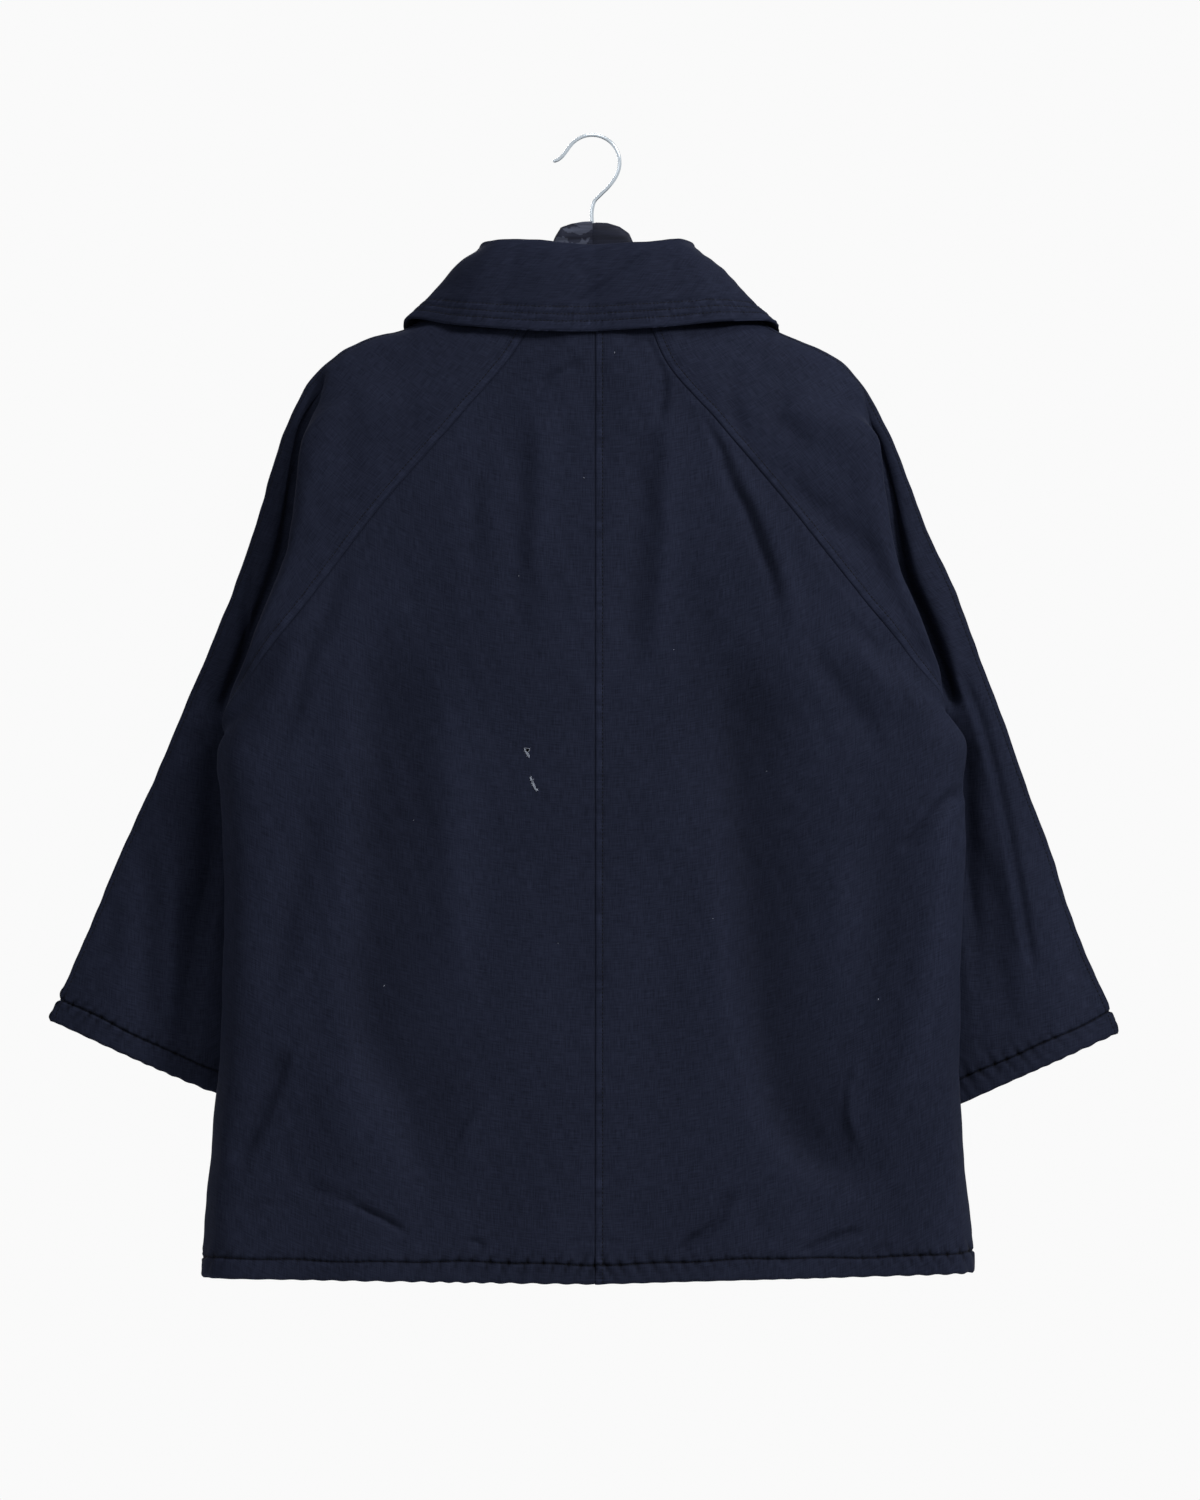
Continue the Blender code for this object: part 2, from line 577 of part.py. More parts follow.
def build_panels():
    """Makes the eight cloth panels, and returns their outer grids."""
    grids, normals = {}, {}
    for key in PANEL_NAMES:
        grids[key], normals[key] = patch_for(*key)
    own = {key: value.copy() for key, value in normals.items()}
    share_normals(normals)
    for key, name in PANEL_NAMES.items():
        mitre = np.clip(np.sum(own[key] * normals[key], axis=2, keepdims=True), MITRE_LIMIT, 1.0)
        mitre[UPPER_CELLS, UNDERARM_COLUMN[key[0]]] = 1.0
        outer = grids[key].copy()
        inner = outer - normals[key] * pared_wall(outer.shape[:2], UNDERARM_COLUMN[key[0]]) / mitre
        for column in (0, -1):
            if column not in FREE_COLUMNS.get(key[0], ()):
                four_meet = column == UNDERARM_COLUMN[key[0]]
                drawn_back(outer, normals[key], column, four_meet)
                drawn_back(inner, normals[key], column, four_meet)
        wall(name, outer, inner, material(name + "_cloth", NAVY, 0.8))
    return grids


# --- collar ---

def neck_half(grids, side):
    """The neck seam of one side, a polyline from the centre back to the collar's end near the centre front."""
    parts = [
        grids["back", side][0],
        grids["sleeve_back", side][0],
        grids["sleeve_front", side][0],
        grids["front", side][0][::-1],
    ]
    line = np.concatenate([part[:-1] for part in parts[:-1]] + [parts[-1]])
    kept = line[:, 0] * side > COLLAR_END_OUT
    kept[0] = True
    return line[kept]


def resampled(line, shares):
    """A polyline read at shares of its length."""
    lengths = np.concatenate([[0], np.cumsum(np.linalg.norm(np.diff(line, axis=0), axis=1))])
    return np.stack([np.interp(shares * lengths[-1], lengths, line[:, k]) for k in range(3)], axis=1)


def collar_half(grids, side):
    """One side's neck line, crest and lower edge, from the centre back to the front."""
    shares = np.linspace(0, 1, COLLAR_HALF_CELLS + 1)
    base = resampled(neck_half(grids, side), shares)
    base[:, 2] += STAND_CLEARANCE
    return base, guide(COLLAR_CREST, side, shares), guide(COLLAR_EDGE, side, shares)


def build_collar(grids):
    """The folded collar: the fall hangs outside, the stand rises from the neck seam inside it."""
    base, crest, edge = (
        np.concatenate([left[:0:-1], right])
        for left, right in zip(collar_half(grids, LEFT), collar_half(grids, RIGHT))
    )
    up = np.array([0, 0, 1.0])
    outwards = np.cross(np.gradient(base, axis=0), up)
    outwards /= np.linalg.norm(outwards, axis=1, keepdims=True)
    outwards *= -np.sign(outwards[COLLAR_HALF_CELLS, 1])
    stand_face = base - outwards * COLLAR_WALL
    lines = [edge + (crest - edge) * line.share + outwards * line.outwards + up * line.up for line in COLLAR_FALL]
    lines += [(stand_face + crest) / 2 - outwards * STAND_HOLLOW, stand_face]
    outer = across(lines, COLLAR_CELLS)
    normals = normals_of(outer, -1, slice(COLLAR_HALF_CELLS, COLLAR_HALF_CELLS + 1), slice(0, 1))
    normals[:, -1] = -outwards
    wall("collar", outer, outer - normals * COLLAR_WALL, material("collar_cloth", NAVY_COLLAR, 0.75))


# --- buttons ---

def turned(profile, sides):
    """Points and faces of a solid turned about +Y from (radius, depth) pairs that start and end on the axis."""
    angles = np.arange(sides) * 2 * math.pi / sides
    rings = [np.stack([r * np.cos(angles), np.full(sides, y), r * np.sin(angles)], axis=1) for r, y in profile[1:-1]]
    points = [(0, profile[0][1], 0), *np.concatenate(rings), (0, profile[-1][1], 0)]
    faces = [(0, 1 + (k + 1) % sides, 1 + k) for k in range(sides)]
    for ring in range(len(rings) - 1):
        low, high = 1 + ring * sides, 1 + (ring + 1) * sides
        faces += [(low + k, low + (k + 1) % sides, high + (k + 1) % sides, high + k) for k in range(sides)]
    last, top = 1 + (len(rings) - 1) * sides, len(points) - 1
    faces += [(last + k, last + (k + 1) % sides, top) for k in range(sides)]
    return np.array(points), faces


def build_buttons():
    """Five plain buttons down the centre front, just clear of the overlapping right front."""
    face = guide(CENTRE_FRONT, RIGHT, WHOLE)
    finish = material("button_resin", NAVY_BUTTON, 0.35)
    for number, drop in enumerate(BUTTON_DROPS, 1):
        points, faces = turned(BUTTON_PROFILE, BUTTON_SIDES)
        depth = np.interp(drop, -face[:, 2], face[:, 1]) + BUTTON_CLEARANCE
        made = add_object(f"button_{number}", points, faces, finish)
        made.location = (0, depth * MM, -drop * MM)


# --- hanger ---

def squared_off(wave):
    """A sine or cosine pushed out towards a square one."""
    return np.sign(wave) * np.abs(wave) ** HANGER_SECTION_POWER


def arm_section(arm, side):
    """One rounded section of a hanger arm, across the arm in Y and Z."""
    turn = np.arange(HANGER_SECTION_POINTS) * 2 * math.pi / HANGER_SECTION_POINTS
    top = arm.left_top if side == LEFT else arm.right_top
    out = HANGER_JOINT_OUT * side + SEAM_GAP / 2 if arm.out == 0 else arm.out
    return np.stack([
        np.full(len(turn), side * out),
        arm.forward + arm.half_thick * squared_off(np.cos(turn)),
        -(top + arm.bottom) / 2 + (arm.bottom - top) / 2 * squared_off(np.sin(turn)),
    ], axis=1)


def build_hanger_half(side, name):
    """Half of the wooden hanger: sections lofted from the centre joint to the arm's end."""
    sections = [arm_section(arm, side) for arm in HANGER_ARMS]
    count = HANGER_SECTION_POINTS
    points = np.concatenate(sections)
    faces = [tuple(range(count)), tuple(range((len(sections) - 1) * count, len(sections) * count))[::-1]]
    for k in range(len(sections) - 1):
        low, high = k * count, (k + 1) * count
        faces += [(low + (i + 1) % count, low + i, high + i, high + (i + 1) % count) for i in range(count)]
    return add_object(name, points, faces, material(name + "_wood", BLACK_WOOD, 0.45))


def socket_for_shank(halves):
    """Bores the shank's socket down through the joint between the two halves."""
    radius = HOOK_WIRE_RADIUS + SEAM_GAP
    angles = np.arange(SOCKET_SIDES) * 2 * math.pi / SOCKET_SIDES
    bottom = -(HANGER_ARMS[0].left_top + SHANK_SOCKET_DEPTH)
    ring = np.stack([HOOK_CENTRE_OUT + radius * np.cos(angles), radius * np.sin(angles)], axis=1)
    points = [(x, y, z) for z in (bottom, SOCKET_TOP) for x, y in ring]
    faces = [tuple(range(SOCKET_SIDES))[::-1], tuple(range(SOCKET_SIDES, 2 * SOCKET_SIDES))]
    faces += [(k, (k + 1) % SOCKET_SIDES, SOCKET_SIDES + (k + 1) % SOCKET_SIDES, SOCKET_SIDES + k)
              for k in range(SOCKET_SIDES)]
    cutter = add_object("socket_cutter", points, faces, material("cutter", BLACK_WOOD, 0.5))
    cutter.hide_render = True
    cutter.display_type = "WIRE"
    for half in halves:
        cut = half.modifiers.new("socket", "BOOLEAN")
        cut.operation, cut.object = "DIFFERENCE", cutter


def hook_route():
    """The wire's middle line: shank, the curve back out to the bend, the round bend and the flared tip."""
    centre = np.array([HOOK_CENTRE_OUT, -(HOOK_BEND_RADIUS - HOOK_WIRE_RADIUS)])
    angles = np.radians(np.linspace(*HOOK_BEND_DEGREES, HOOK_BEND_POINTS))
    bend = centre + HOOK_BEND_RADIUS * np.stack([np.cos(angles), np.sin(angles)], axis=1)
    line = np.concatenate([HOOK_SHANK, bend, HOOK_TIP])
    lengths = np.concatenate([[0], np.cumsum(np.linalg.norm(np.diff(line, axis=0), axis=1))])
    smooth = line_through(lengths, line, np.linspace(0, lengths[-1], HOOK_POINTS))
    return np.stack([smooth[:, 0], np.zeros(len(smooth)), smooth[:, 1]], axis=1)


def build_hook():
    """The bent wire, a curve with a round section and closed ends."""
    curve = bpy.data.curves.new("hanger_hook", "CURVE")
    curve.dimensions = "3D"
    curve.bevel_depth = HOOK_WIRE_RADIUS * MM
    curve.bevel_resolution = 3
    curve.use_fill_caps = True
    route = hook_route()
    spline = curve.splines.new("POLY")
    spline.points.add(len(route) - 1)
    for point, place in zip(spline.points, route):
        point.co = (*(place * MM), 1.0)
    curve.materials.append(material("hook_steel", POLISHED_STEEL, 0.18, 1.0))
    bpy.context.collection.objects.link(bpy.data.objects.new("hanger_hook", curve))


def main():
    clear_scene()
    grids = build_panels()
    build_collar(grids)
    build_buttons()
    halves = [build_hanger_half(LEFT, "hanger_left"), build_hanger_half(RIGHT, "hanger_right")]
    socket_for_shank(halves)
    build_hook()


main()
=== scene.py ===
"""Dresses a raglan coat on a wooden hanger: cloth shells with folds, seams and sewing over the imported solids.

Places are in millimetres in the frame of the solids: X to the right of the photo, Y out of the coat's
front and Z up from the inner top of the hanger's hook. A drop is a distance below that point. Meshes are
made in metres.
"""

import logging
import math
from dataclasses import dataclass, field
from enum import Enum

import bpy
import numpy as np
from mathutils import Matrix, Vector


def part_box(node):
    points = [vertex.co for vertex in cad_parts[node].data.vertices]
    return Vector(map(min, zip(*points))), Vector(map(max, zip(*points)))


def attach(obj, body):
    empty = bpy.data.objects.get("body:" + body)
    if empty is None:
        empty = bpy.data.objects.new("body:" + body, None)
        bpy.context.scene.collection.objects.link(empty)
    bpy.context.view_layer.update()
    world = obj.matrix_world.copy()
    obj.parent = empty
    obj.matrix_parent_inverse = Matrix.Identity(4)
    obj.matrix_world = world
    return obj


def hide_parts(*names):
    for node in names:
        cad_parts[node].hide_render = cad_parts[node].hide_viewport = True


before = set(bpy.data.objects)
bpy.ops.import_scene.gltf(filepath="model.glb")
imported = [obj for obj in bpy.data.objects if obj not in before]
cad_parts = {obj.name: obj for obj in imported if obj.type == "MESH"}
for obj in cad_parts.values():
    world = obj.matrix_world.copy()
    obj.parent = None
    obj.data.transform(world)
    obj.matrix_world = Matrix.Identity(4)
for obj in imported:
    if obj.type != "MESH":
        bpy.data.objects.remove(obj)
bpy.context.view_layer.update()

logging.basicConfig(level=logging.INFO, format="%(message)s")
log = logging.getLogger("coat")

MM = 0.001
BUTTONS = 5

Colour = tuple[float, float, float]


class Side(Enum):
    """A side of the coat, as seen from behind it."""

    LEFT = -1
    RIGHT = 1


class Cut(Enum):
    """A kind of cloth panel."""

    BACK = "back"
    FRONT = "front"
    SLEEVE_BACK = "sleeve_back"
    SLEEVE_FRONT = "sleeve_front"


# --- the cut: the same guide lines as the solids' ---

UNDERARM_AT = 0.62
HEM_AT = 0.955
UPPER = np.linspace(0.0, UNDERARM_AT, 118)
LOWER = np.concatenate([np.linspace(UNDERARM_AT, HEM_AT, 84), np.linspace(HEM_AT, 1.0, 53)[1:]])
WHOLE = np.concatenate([UPPER, LOWER[1:]])
CORNER_ROW = len(UPPER) - 1


@dataclass(frozen=True)
class Row:
    """A row of a guide line: how far along the panel, and where it lies on the left and on the right side."""

    at: float
    left_out: float
    left_drop: float
    right_out: float
    right_drop: float
    depth: float

    def place(self, side: Side) -> tuple[float, float, float]:
        """The row's place on one side.

        Args:
            side: which side.

        Returns:
            X, Y and Z.
        """
        if side is Side.LEFT:
            return -self.left_out, self.depth, -self.left_drop
        return self.right_out, self.depth, -self.right_drop


RAGLAN_BACK = (
    Row(0.00, 40, 124, 37, 125, -31),
    Row(0.07, 61, 170, 54, 179, -41),
    Row(0.17, 108, 228, 100, 235, -44),
    Row(0.29, 174, 303, 155, 300, -43),
    Row(0.42, 234, 381, 216, 376, -37),
    Row(0.52, 283, 443, 261, 431, -27),
    Row(0.56, 305, 478, 286, 462, -12),
    Row(0.59, 297, 500, 284, 485, 9),
    Row(0.62, 273, 514, 262, 502, 24),
)
RAGLAN_FRONT = (
    Row(0.00, 64, 148, 64, 149, 27),
    Row(0.07, 78, 190, 76, 193, 37),
    Row(0.17, 106, 244, 102, 247, 42),
    Row(0.29, 158, 312, 150, 310, 45),
    Row(0.42, 216, 388, 208, 383, 44),
    Row(0.52, 254, 446, 244, 436, 38),
    Row(0.58, 268, 487, 257, 476, 30),
    Row(0.62, 273, 514, 262, 502, 24),
)
UNDERARM = (
    Row(0.62, 273, 514, 262, 502, 24),
    Row(0.74, 274, 600, 262, 594, 31),
    Row(0.87, 276, 703, 264, 705, 34),
    Row(1.00, 278, 800, 268, 808, 36),
)
SIDE_SEAM = (
    Row(0.62, 273, 514, 262, 502, 24),
    Row(0.70, 266, 570, 258, 560, 14),
    Row(0.82, 268, 720, 260, 720, 11),
    Row(1.00, 284, 931, 274, 931, 12),
)
OVERARM = (
    Row(0.00, 80, 119, 80, 120, 1),
    Row(0.07, 122, 137.5, 126, 145, 1),
    Row(0.11, 154, 155.6, 150, 159.2, 1),
    Row(0.16, 186, 164.8, 184, 173, 1),
    Row(0.20, 212, 178, 206, 188, 2),
    Row(0.23, 229, 193, 221, 204, 3),
    Row(0.29, 249, 227, 238, 236, 5),
    Row(0.42, 278, 314, 272, 316, 9),
    Row(0.52, 302, 383, 296, 374, 12),
    Row(0.62, 338, 469, 328, 457, 17),
    Row(0.74, 371, 544, 362, 549, 23),
    Row(0.87, 413, 640, 396, 647, 29),
    Row(1.00, 450, 725, 433, 735, 33),
)
SLEEVE_RIDGE = (
    Row(0.00, 57, 121.5, 56, 122.5, -24),
    Row(0.07, 90, 154, 88, 161, -32),
    Row(0.17, 150, 196, 146, 206, -35),
    Row(0.23, 199, 213, 190, 222, -33),
    Row(0.29, 236, 243, 228, 242, -29),
    Row(0.35, 245, 293, 237, 290, -28),
    Row(0.42, 255, 350, 247, 344, -27),
    Row(0.52, 288, 429, 273, 412, -17),
    Row(0.56, 300, 463, 284, 446, 3),
    Row(0.59, 290, 485, 278, 470, 11),
    Row(0.62, 282, 505.5, 272, 493.5, 20),
    Row(0.74, 286, 595, 275, 591, 20),
    Row(0.87, 294, 696, 282, 698, 21),
    Row(1.00, 298, 791, 288, 800, 24),
)
SLEEVE_GULLEY = (
    Row(0.00, 70, 120, 70, 121, -13),
    Row(0.07, 108, 143, 110, 150, -17),
    Row(0.17, 176, 175, 172, 183, -17),
    Row(0.23, 219, 202, 211, 212, -14),
    Row(0.29, 237, 236, 229, 240, -8),
    Row(0.35, 240, 284, 233, 282, -3),
    Row(0.42, 243, 342, 236, 338, 2),
    Row(0.52, 270, 424, 256, 406, 8),
    Row(0.56, 283, 456, 269, 440, 13),
    Row(0.62, 290, 494, 280, 482, 15),
    Row(0.74, 310, 582, 300, 582, 14),
    Row(0.87, 332, 680, 320, 684, 16),
    Row(1.00, 345, 772, 334, 779, 20),
)
CENTRE_BACK = (
    Row(0.00, 0, 124, 0, 124, -34),
    Row(0.07, 0, 168, 0, 168, -44),
    Row(0.17, 0, 222, 0, 222, -47),
    Row(0.42, 0, 365, 0, 365, -51),
    Row(0.62, 0, 500, 0, 500, -52),
    Row(0.82, 0, 730, 0, 730, -51),
    Row(1.00, 0, 938, 0, 938, -50),
)
BACK_EDGE = (
    Row(0.00, 36, 124, 33, 124, -31.5),
    Row(0.07, 54, 170, 48, 178, -41.5),
    Row(0.17, 96, 228, 90, 233, -45),
    Row(0.29, 154, 300, 140, 298, -45),
    Row(0.42, 212, 378, 198, 373, -41),
    Row(0.52, 266, 443, 246, 431, -35),
    Row(0.56, 294, 477, 279, 463, -24),
    Row(0.59, 306, 497, 296, 483, -15),
    Row(0.62, 309, 513, 304, 499, -11),
    Row(0.66, 307, 536, 299, 532, -9),
    Row(0.74, 304, 600, 296, 600, -8),
    Row(0.84, 305, 725, 297, 735, -8),
    Row(0.92, 313, 818, 301, 830, -7),
    Row(1.00, 322, 934, 311, 930, -5),
)
CENTRE_FRONT = (
    Row(0.00, 0, 205, 0, 205, 47),
    Row(0.20, 0, 290, 0, 290, 50),
    Row(0.62, 0, 515, 0, 515, 52),
    Row(1.00, 0, 928, 0, 928, 49),
)
FRONT_CORNER = (
    Row(0.00, 53, 163, 53, 164, 33),
    Row(0.07, 67, 197, 65, 200, 40),
    Row(0.17, 92, 247, 88, 249, 43),
    Row(0.29, 140, 314, 134, 312, 46),
    Row(0.42, 196, 392, 190, 387, 46),
    Row(0.52, 234, 449, 226, 440, 41),
    Row(0.62, 257, 516, 248, 505, 31),
    Row(0.74, 248, 618, 242, 612, 27),
    Row(0.87, 250, 760, 244, 756, 26),
    Row(1.00, 263, 929, 254, 929, 27),
)
COLLAR_CREST = (
    Row(0.00, 0, 90, 0, 90, -37),
    Row(0.20, 50, 87, 44, 87, -34),
    Row(0.34, 84, 85.5, 70, 84.5, -21),
    Row(0.41, 93, 88, 79, 87, -4),
    Row(0.50, 90, 98, 80, 98, 14),
    Row(0.62, 76, 121, 71, 121, 31),
    Row(0.80, 46, 155, 44, 155, 46),
    Row(1.00, 6, 186, 6, 186, 53),
)
COLLAR_EDGE = (
    Row(0.00, 0, 161.5, 0, 161.5, -53),
    Row(0.20, 66, 160, 67, 157, -52),
    Row(0.32, 118, 155, 115, 152, -41),
    Row(0.41, 153, 149.2, 147.5, 152, -8),
    Row(0.50, 156, 165, 151, 168, 26),
    Row(0.62, 138, 196, 134, 197, 49),
    Row(0.80, 106, 238, 102, 238, 60),
    Row(1.00, 68, 264, 66, 264, 62),
)


def ramp(where: np.ndarray, start: float, end: float) -> np.ndarray:
    """Rises from 0 at the start to 1 at the end, and stays level outside them."""
    return np.clip((where - start) / (end - start), 0, 1)


def rounded(share: np.ndarray) -> np.ndarray:
    """A quarter circle: 1 at a share of 0, falling to 0 at 1 and staying there."""
    return 1 - np.sqrt(np.clip(1 - (1 - np.clip(share, 0, 1)) ** 2, 0, 1))


def smooth_step(share: np.ndarray) -> np.ndarray:
    """A share from 0 to 1, eased at both ends."""
    held = np.clip(share, 0, 1)
    return held * held * (3 - 2 * held)


def tangents_of(gaps: np.ndarray, points: np.ndarray) -> np.ndarray:
    """Slopes of a smooth line at its points.

    Args:
        gaps: the spacing between neighbouring points.
        points: the points, along the first axis.

    Returns:
        One slope for each point.
    """
    slopes = np.diff(points, axis=0) / gaps
    tangents = np.empty_like(points)
    tangents[1:-1] = (gaps[1:] * slopes[:-1] + gaps[:-1] * slopes[1:]) / (gaps[1:] + gaps[:-1])
    tangents[0] = 1.5 * slopes[0] - 0.5 * tangents[1]
    tangents[-1] = 1.5 * slopes[-1] - 0.5 * tangents[-2]
    return tangents


def hermite(start: np.ndarray, end: np.ndarray, start_slope: np.ndarray, end_slope: np.ndarray,
            gap: np.ndarray, share: np.ndarray) -> np.ndarray:
    """A cubic piece between two points.

    Args:
        start: its first point.
        end: its last point.
        start_slope: its slope at the first point.
        end_slope: its slope at the last point.
        gap: the spacing of the two points.
        share: the share of the way at which it is read.

    Returns:
        The point there.
    """
    squared, cubed = share ** 2, share ** 3
    return ((2 * cubed - 3 * squared + 1) * start + (cubed - 2 * squared + share) * gap * start_slope
            + (3 * squared - 2 * cubed) * end + (cubed - squared) * gap * end_slope)


def line_through(knots: np.ndarray, points: np.ndarray, where: np.ndarray) -> np.ndarray:
    """A smooth line through points, in cubic pieces.

    Args:
        knots: where along the line its points lie.
        points: the points.
        where: the places to read.

    Returns:
        One point for each place.
    """
    gaps = np.diff(knots)[:, None]
    tangents = tangents_of(gaps, points)
    piece = np.clip(np.searchsorted(knots, where, side="right") - 1, 0, len(knots) - 2)
    share = ((where - knots[piece]) / gaps[piece, 0])[:, None]
    return hermite(points[piece], points[piece + 1], tangents[piece], tangents[piece + 1], gaps[piece], share)


def guide(rows: tuple[Row, ...], side: Side, where: np.ndarray) -> np.ndarray:
    """A guide line of one side, read at the given places along the panel."""
    knots = np.array([row.at for row in rows])
    return line_through(knots, np.array([row.place(side) for row in rows], float), where)


def seam(upper_rows: tuple[Row, ...], lower_rows: tuple[Row, ...], side: Side) -> np.ndarray:
    """An edge made of two seams that meet at the underarm."""
    return np.concatenate([guide(upper_rows, side, UPPER), guide(lower_rows, side, LOWER)[1:]])


def midway(first: np.ndarray, second: np.ndarray, share: np.ndarray | float,
           lift: np.ndarray | float) -> np.ndarray:
    """Points between two guide lines.

    Args:
        first: one guide line.
        second: the other.
        share: how far over from the first they lie, one for all rows or one for each.
        lift: how far they move along Y, likewise.

    Returns:
        A line with one point for each row.
    """
    between = first + (second - first) * np.reshape(share, (-1, 1))
    between[:, 1] += lift
    return between


def across(guides: list[np.ndarray], steps: tuple[np.ndarray, ...]) -> np.ndarray:
    """A patch through guide lines.

    Args:
        guides: the guide lines, each with one point for each row.
        steps: for each gap between two guides, the shares of it where a column lies.

    Returns:
        The grid of points, rows by columns.
    """
    points = np.stack(guides)
    gaps = np.linalg.norm(np.diff(points, axis=0), axis=2)[..., None]
    tangents = tangents_of(gaps, points)
    columns = [
        hermite(points[k], points[k + 1], tangents[k], tangents[k + 1], gaps[k], share)
        for k, shares in enumerate(steps) for share in shares
    ]
    return np.stack([*columns, points[-1]], axis=1)


def even(count: int) -> np.ndarray:
    """Shares of a gap for that many equal cells, without the last one."""
    return np.arange(count) / count


def fine_start(fine: int, fine_share: float, coarse: int) -> np.ndarray:
    """Shares of a gap with fine cells up to a share of it, and coarse ones after."""
    return np.concatenate([fine_share * even(fine), fine_share + (1 - fine_share) * even(coarse)])


def fine_end(coarse: int, fine: int, fine_share: float) -> np.ndarray:
    """Shares of a gap with coarse cells up to near its end, and fine ones in the last share of it."""
    return np.concatenate([(1 - fine_share) * even(coarse), 1 - fine_share + fine_share * even(fine)])


def run_of(line: np.ndarray) -> np.ndarray:
    """How far each point of a line lies from its first one, along the line."""
    return np.concatenate([[0], np.cumsum(np.linalg.norm(np.diff(line, axis=0), axis=1))])


def read_at(where: np.ndarray, run: np.ndarray, values: np.ndarray) -> np.ndarray:
    """Rows of values read at places along a run, straight between its points."""
    return np.stack([np.interp(where, run, column) for column in values.T], axis=1)


def lengths_along(grid: np.ndarray, axis: int) -> np.ndarray:
    """How far each point of a grid lies from its first row or column, along the cloth.

    Args:
        grid: the points, rows by columns.
        axis: 0 for the distance from the first row, 1 for that from the first column.

    Returns:
        The distances.
    """
    steps = np.linalg.norm(np.diff(grid, axis=axis), axis=2)
    total = np.cumsum(steps, axis=axis)
    first = np.zeros_like(total[:1]) if axis == 0 else np.zeros_like(total[:, :1])
    return np.concatenate([first, total], axis=axis)


def normals_of(grid: np.ndarray, facing: int, rows: slice = slice(None),
               columns: slice = slice(None)) -> np.ndarray:
    """Unit normals of a grid: the cross product of its slopes along both axes.

    Args:
        grid: the points, rows by columns.
        facing: 1 or -1, the way along Y that the normals face.
        rows: the rows over which they face it.
        columns: the columns over which they do.

    Returns:
        One normal for each point.
    """
    normal = np.cross(np.gradient(grid, axis=0), np.gradient(grid, axis=1))
    normal /= np.linalg.norm(normal, axis=2, keepdims=True)
    return normal if normal[rows, columns, 1].mean() * facing > 0 else -normal


# --- folds, creases and soft undulation ---

@dataclass(frozen=True)
class Crease:
    """A hollow pressed into the cloth along a line, or a ridge where the depth is negative.

    The line's points are (X, drop), joined by a smooth curve. A lip is a ridge beside the hollow, and a
    steep value makes one flank of the hollow crisper than the other. Both are on the side that lies to the
    right when looking from the line's first point to its last, or on the left side where they are negative.
    """

    points: tuple[tuple[float, float], ...]
    half_width: float
    depth: float
    lip: float = 0.0
    fade: float = 0.3
    steep: float = 0.0

    def curve(self) -> np.ndarray:
        """The smooth curve through the points, as short straight pieces.

        Returns:
            Its points, four for each given one; a line of two points stays as it is.
        """
        line = np.array(self.points, float)
        if len(line) == 2:
            return line
        run = run_of(line)
        return line_through(run, line, np.linspace(0, run[-1], 4 * len(line)))

    def height(self, x: np.ndarray, drop: np.ndarray) -> np.ndarray:
        """How far the crease moves the cloth out: a bell across the line, faded at its ends.

        Args:
            x: the X of each place.
            drop: its drop.

        Returns:
            The height there.
        """
        line = self.curve()
        lengths = np.linalg.norm(np.diff(line, axis=0), axis=1)
        before = np.concatenate([[0], np.cumsum(lengths)])
        nearest = np.full(x.shape, np.inf)
        signed, run = np.zeros(x.shape), np.zeros(x.shape)
        for k, length in enumerate(lengths):
            way = (line[k + 1] - line[k]) / length
            right, down = x - line[k, 0], drop - line[k, 1]
            along = np.clip(right * way[0] + down * way[1], 0, length)
            off_x, off_drop = right - along * way[0], down - along * way[1]
            distance = np.hypot(off_x, off_drop)
            closer = distance < nearest
            turn = np.sign(off_drop * way[0] - off_x * way[1])
            signed = np.where(closer, distance * turn, signed)
            run = np.where(closer, before[k] + along, run)
            nearest = np.where(closer, distance, nearest)
        end_share = np.minimum(run, before[-1] - run) / (self.fade * before[-1])
        fade = smooth_step(end_share)
        flank = self.half_width * (1 - self.steep * np.tanh(signed / self.half_width))
        bell = -self.depth * np.exp(-(nearest / flank) ** 2)
        beside = signed * np.sign(self.lip) - 1.6 * self.half_width
        lip = abs(self.lip) * np.exp(-(beside / (1.1 * self.half_width)) ** 2)
        return (bell + lip) * fade


@dataclass(frozen=True)
class Undulation:
    """Soft unevenness of hanging cloth: a sum of long waves in fixed directions, all from one seed."""

    seed: int
    height: float
    shortest: float
    longest: float
    waves: int = 14

    def at(self, x: np.ndarray, drop: np.ndarray) -> np.ndarray:
        """The height of the waves' sum.

        Args:
            x: a place's distance across.
            drop: its distance down.

        Returns:
            The height there.
        """
        draw = np.random.default_rng(self.seed)
        total = np.zeros(x.shape)
        for _ in range(self.waves):
            length = self.shortest * (self.longest / self.shortest) ** draw.random()
            angle, phase = draw.random() * math.tau, draw.random() * math.tau
            total += np.sin(math.tau * (x * math.cos(angle) + drop * math.sin(angle)) / length + phase)
        return total * self.height / math.sqrt(self.waves / 2)


def ripple(run: np.ndarray, length: float, seed: int) -> np.ndarray:
    """An uneven wave along a seam: its phase and strength both wander.

    Args:
        run: the distance along the seam.
        length: the usual length of one wave.
        seed: which draw.

    Returns:
        The wave, from -1 to 1.
    """
    draw = np.random.default_rng(seed)
    first, second, third = draw.random(3) * math.tau
    phase = math.tau * run / length + 1.9 * np.sin(run / (2.7 * length) + first)
    phase = phase + 1.1 * np.sin(run / (1.1 * length) + second)
    return np.sin(phase) * (0.62 + 0.38 * np.sin(run / (4.3 * length) + third))


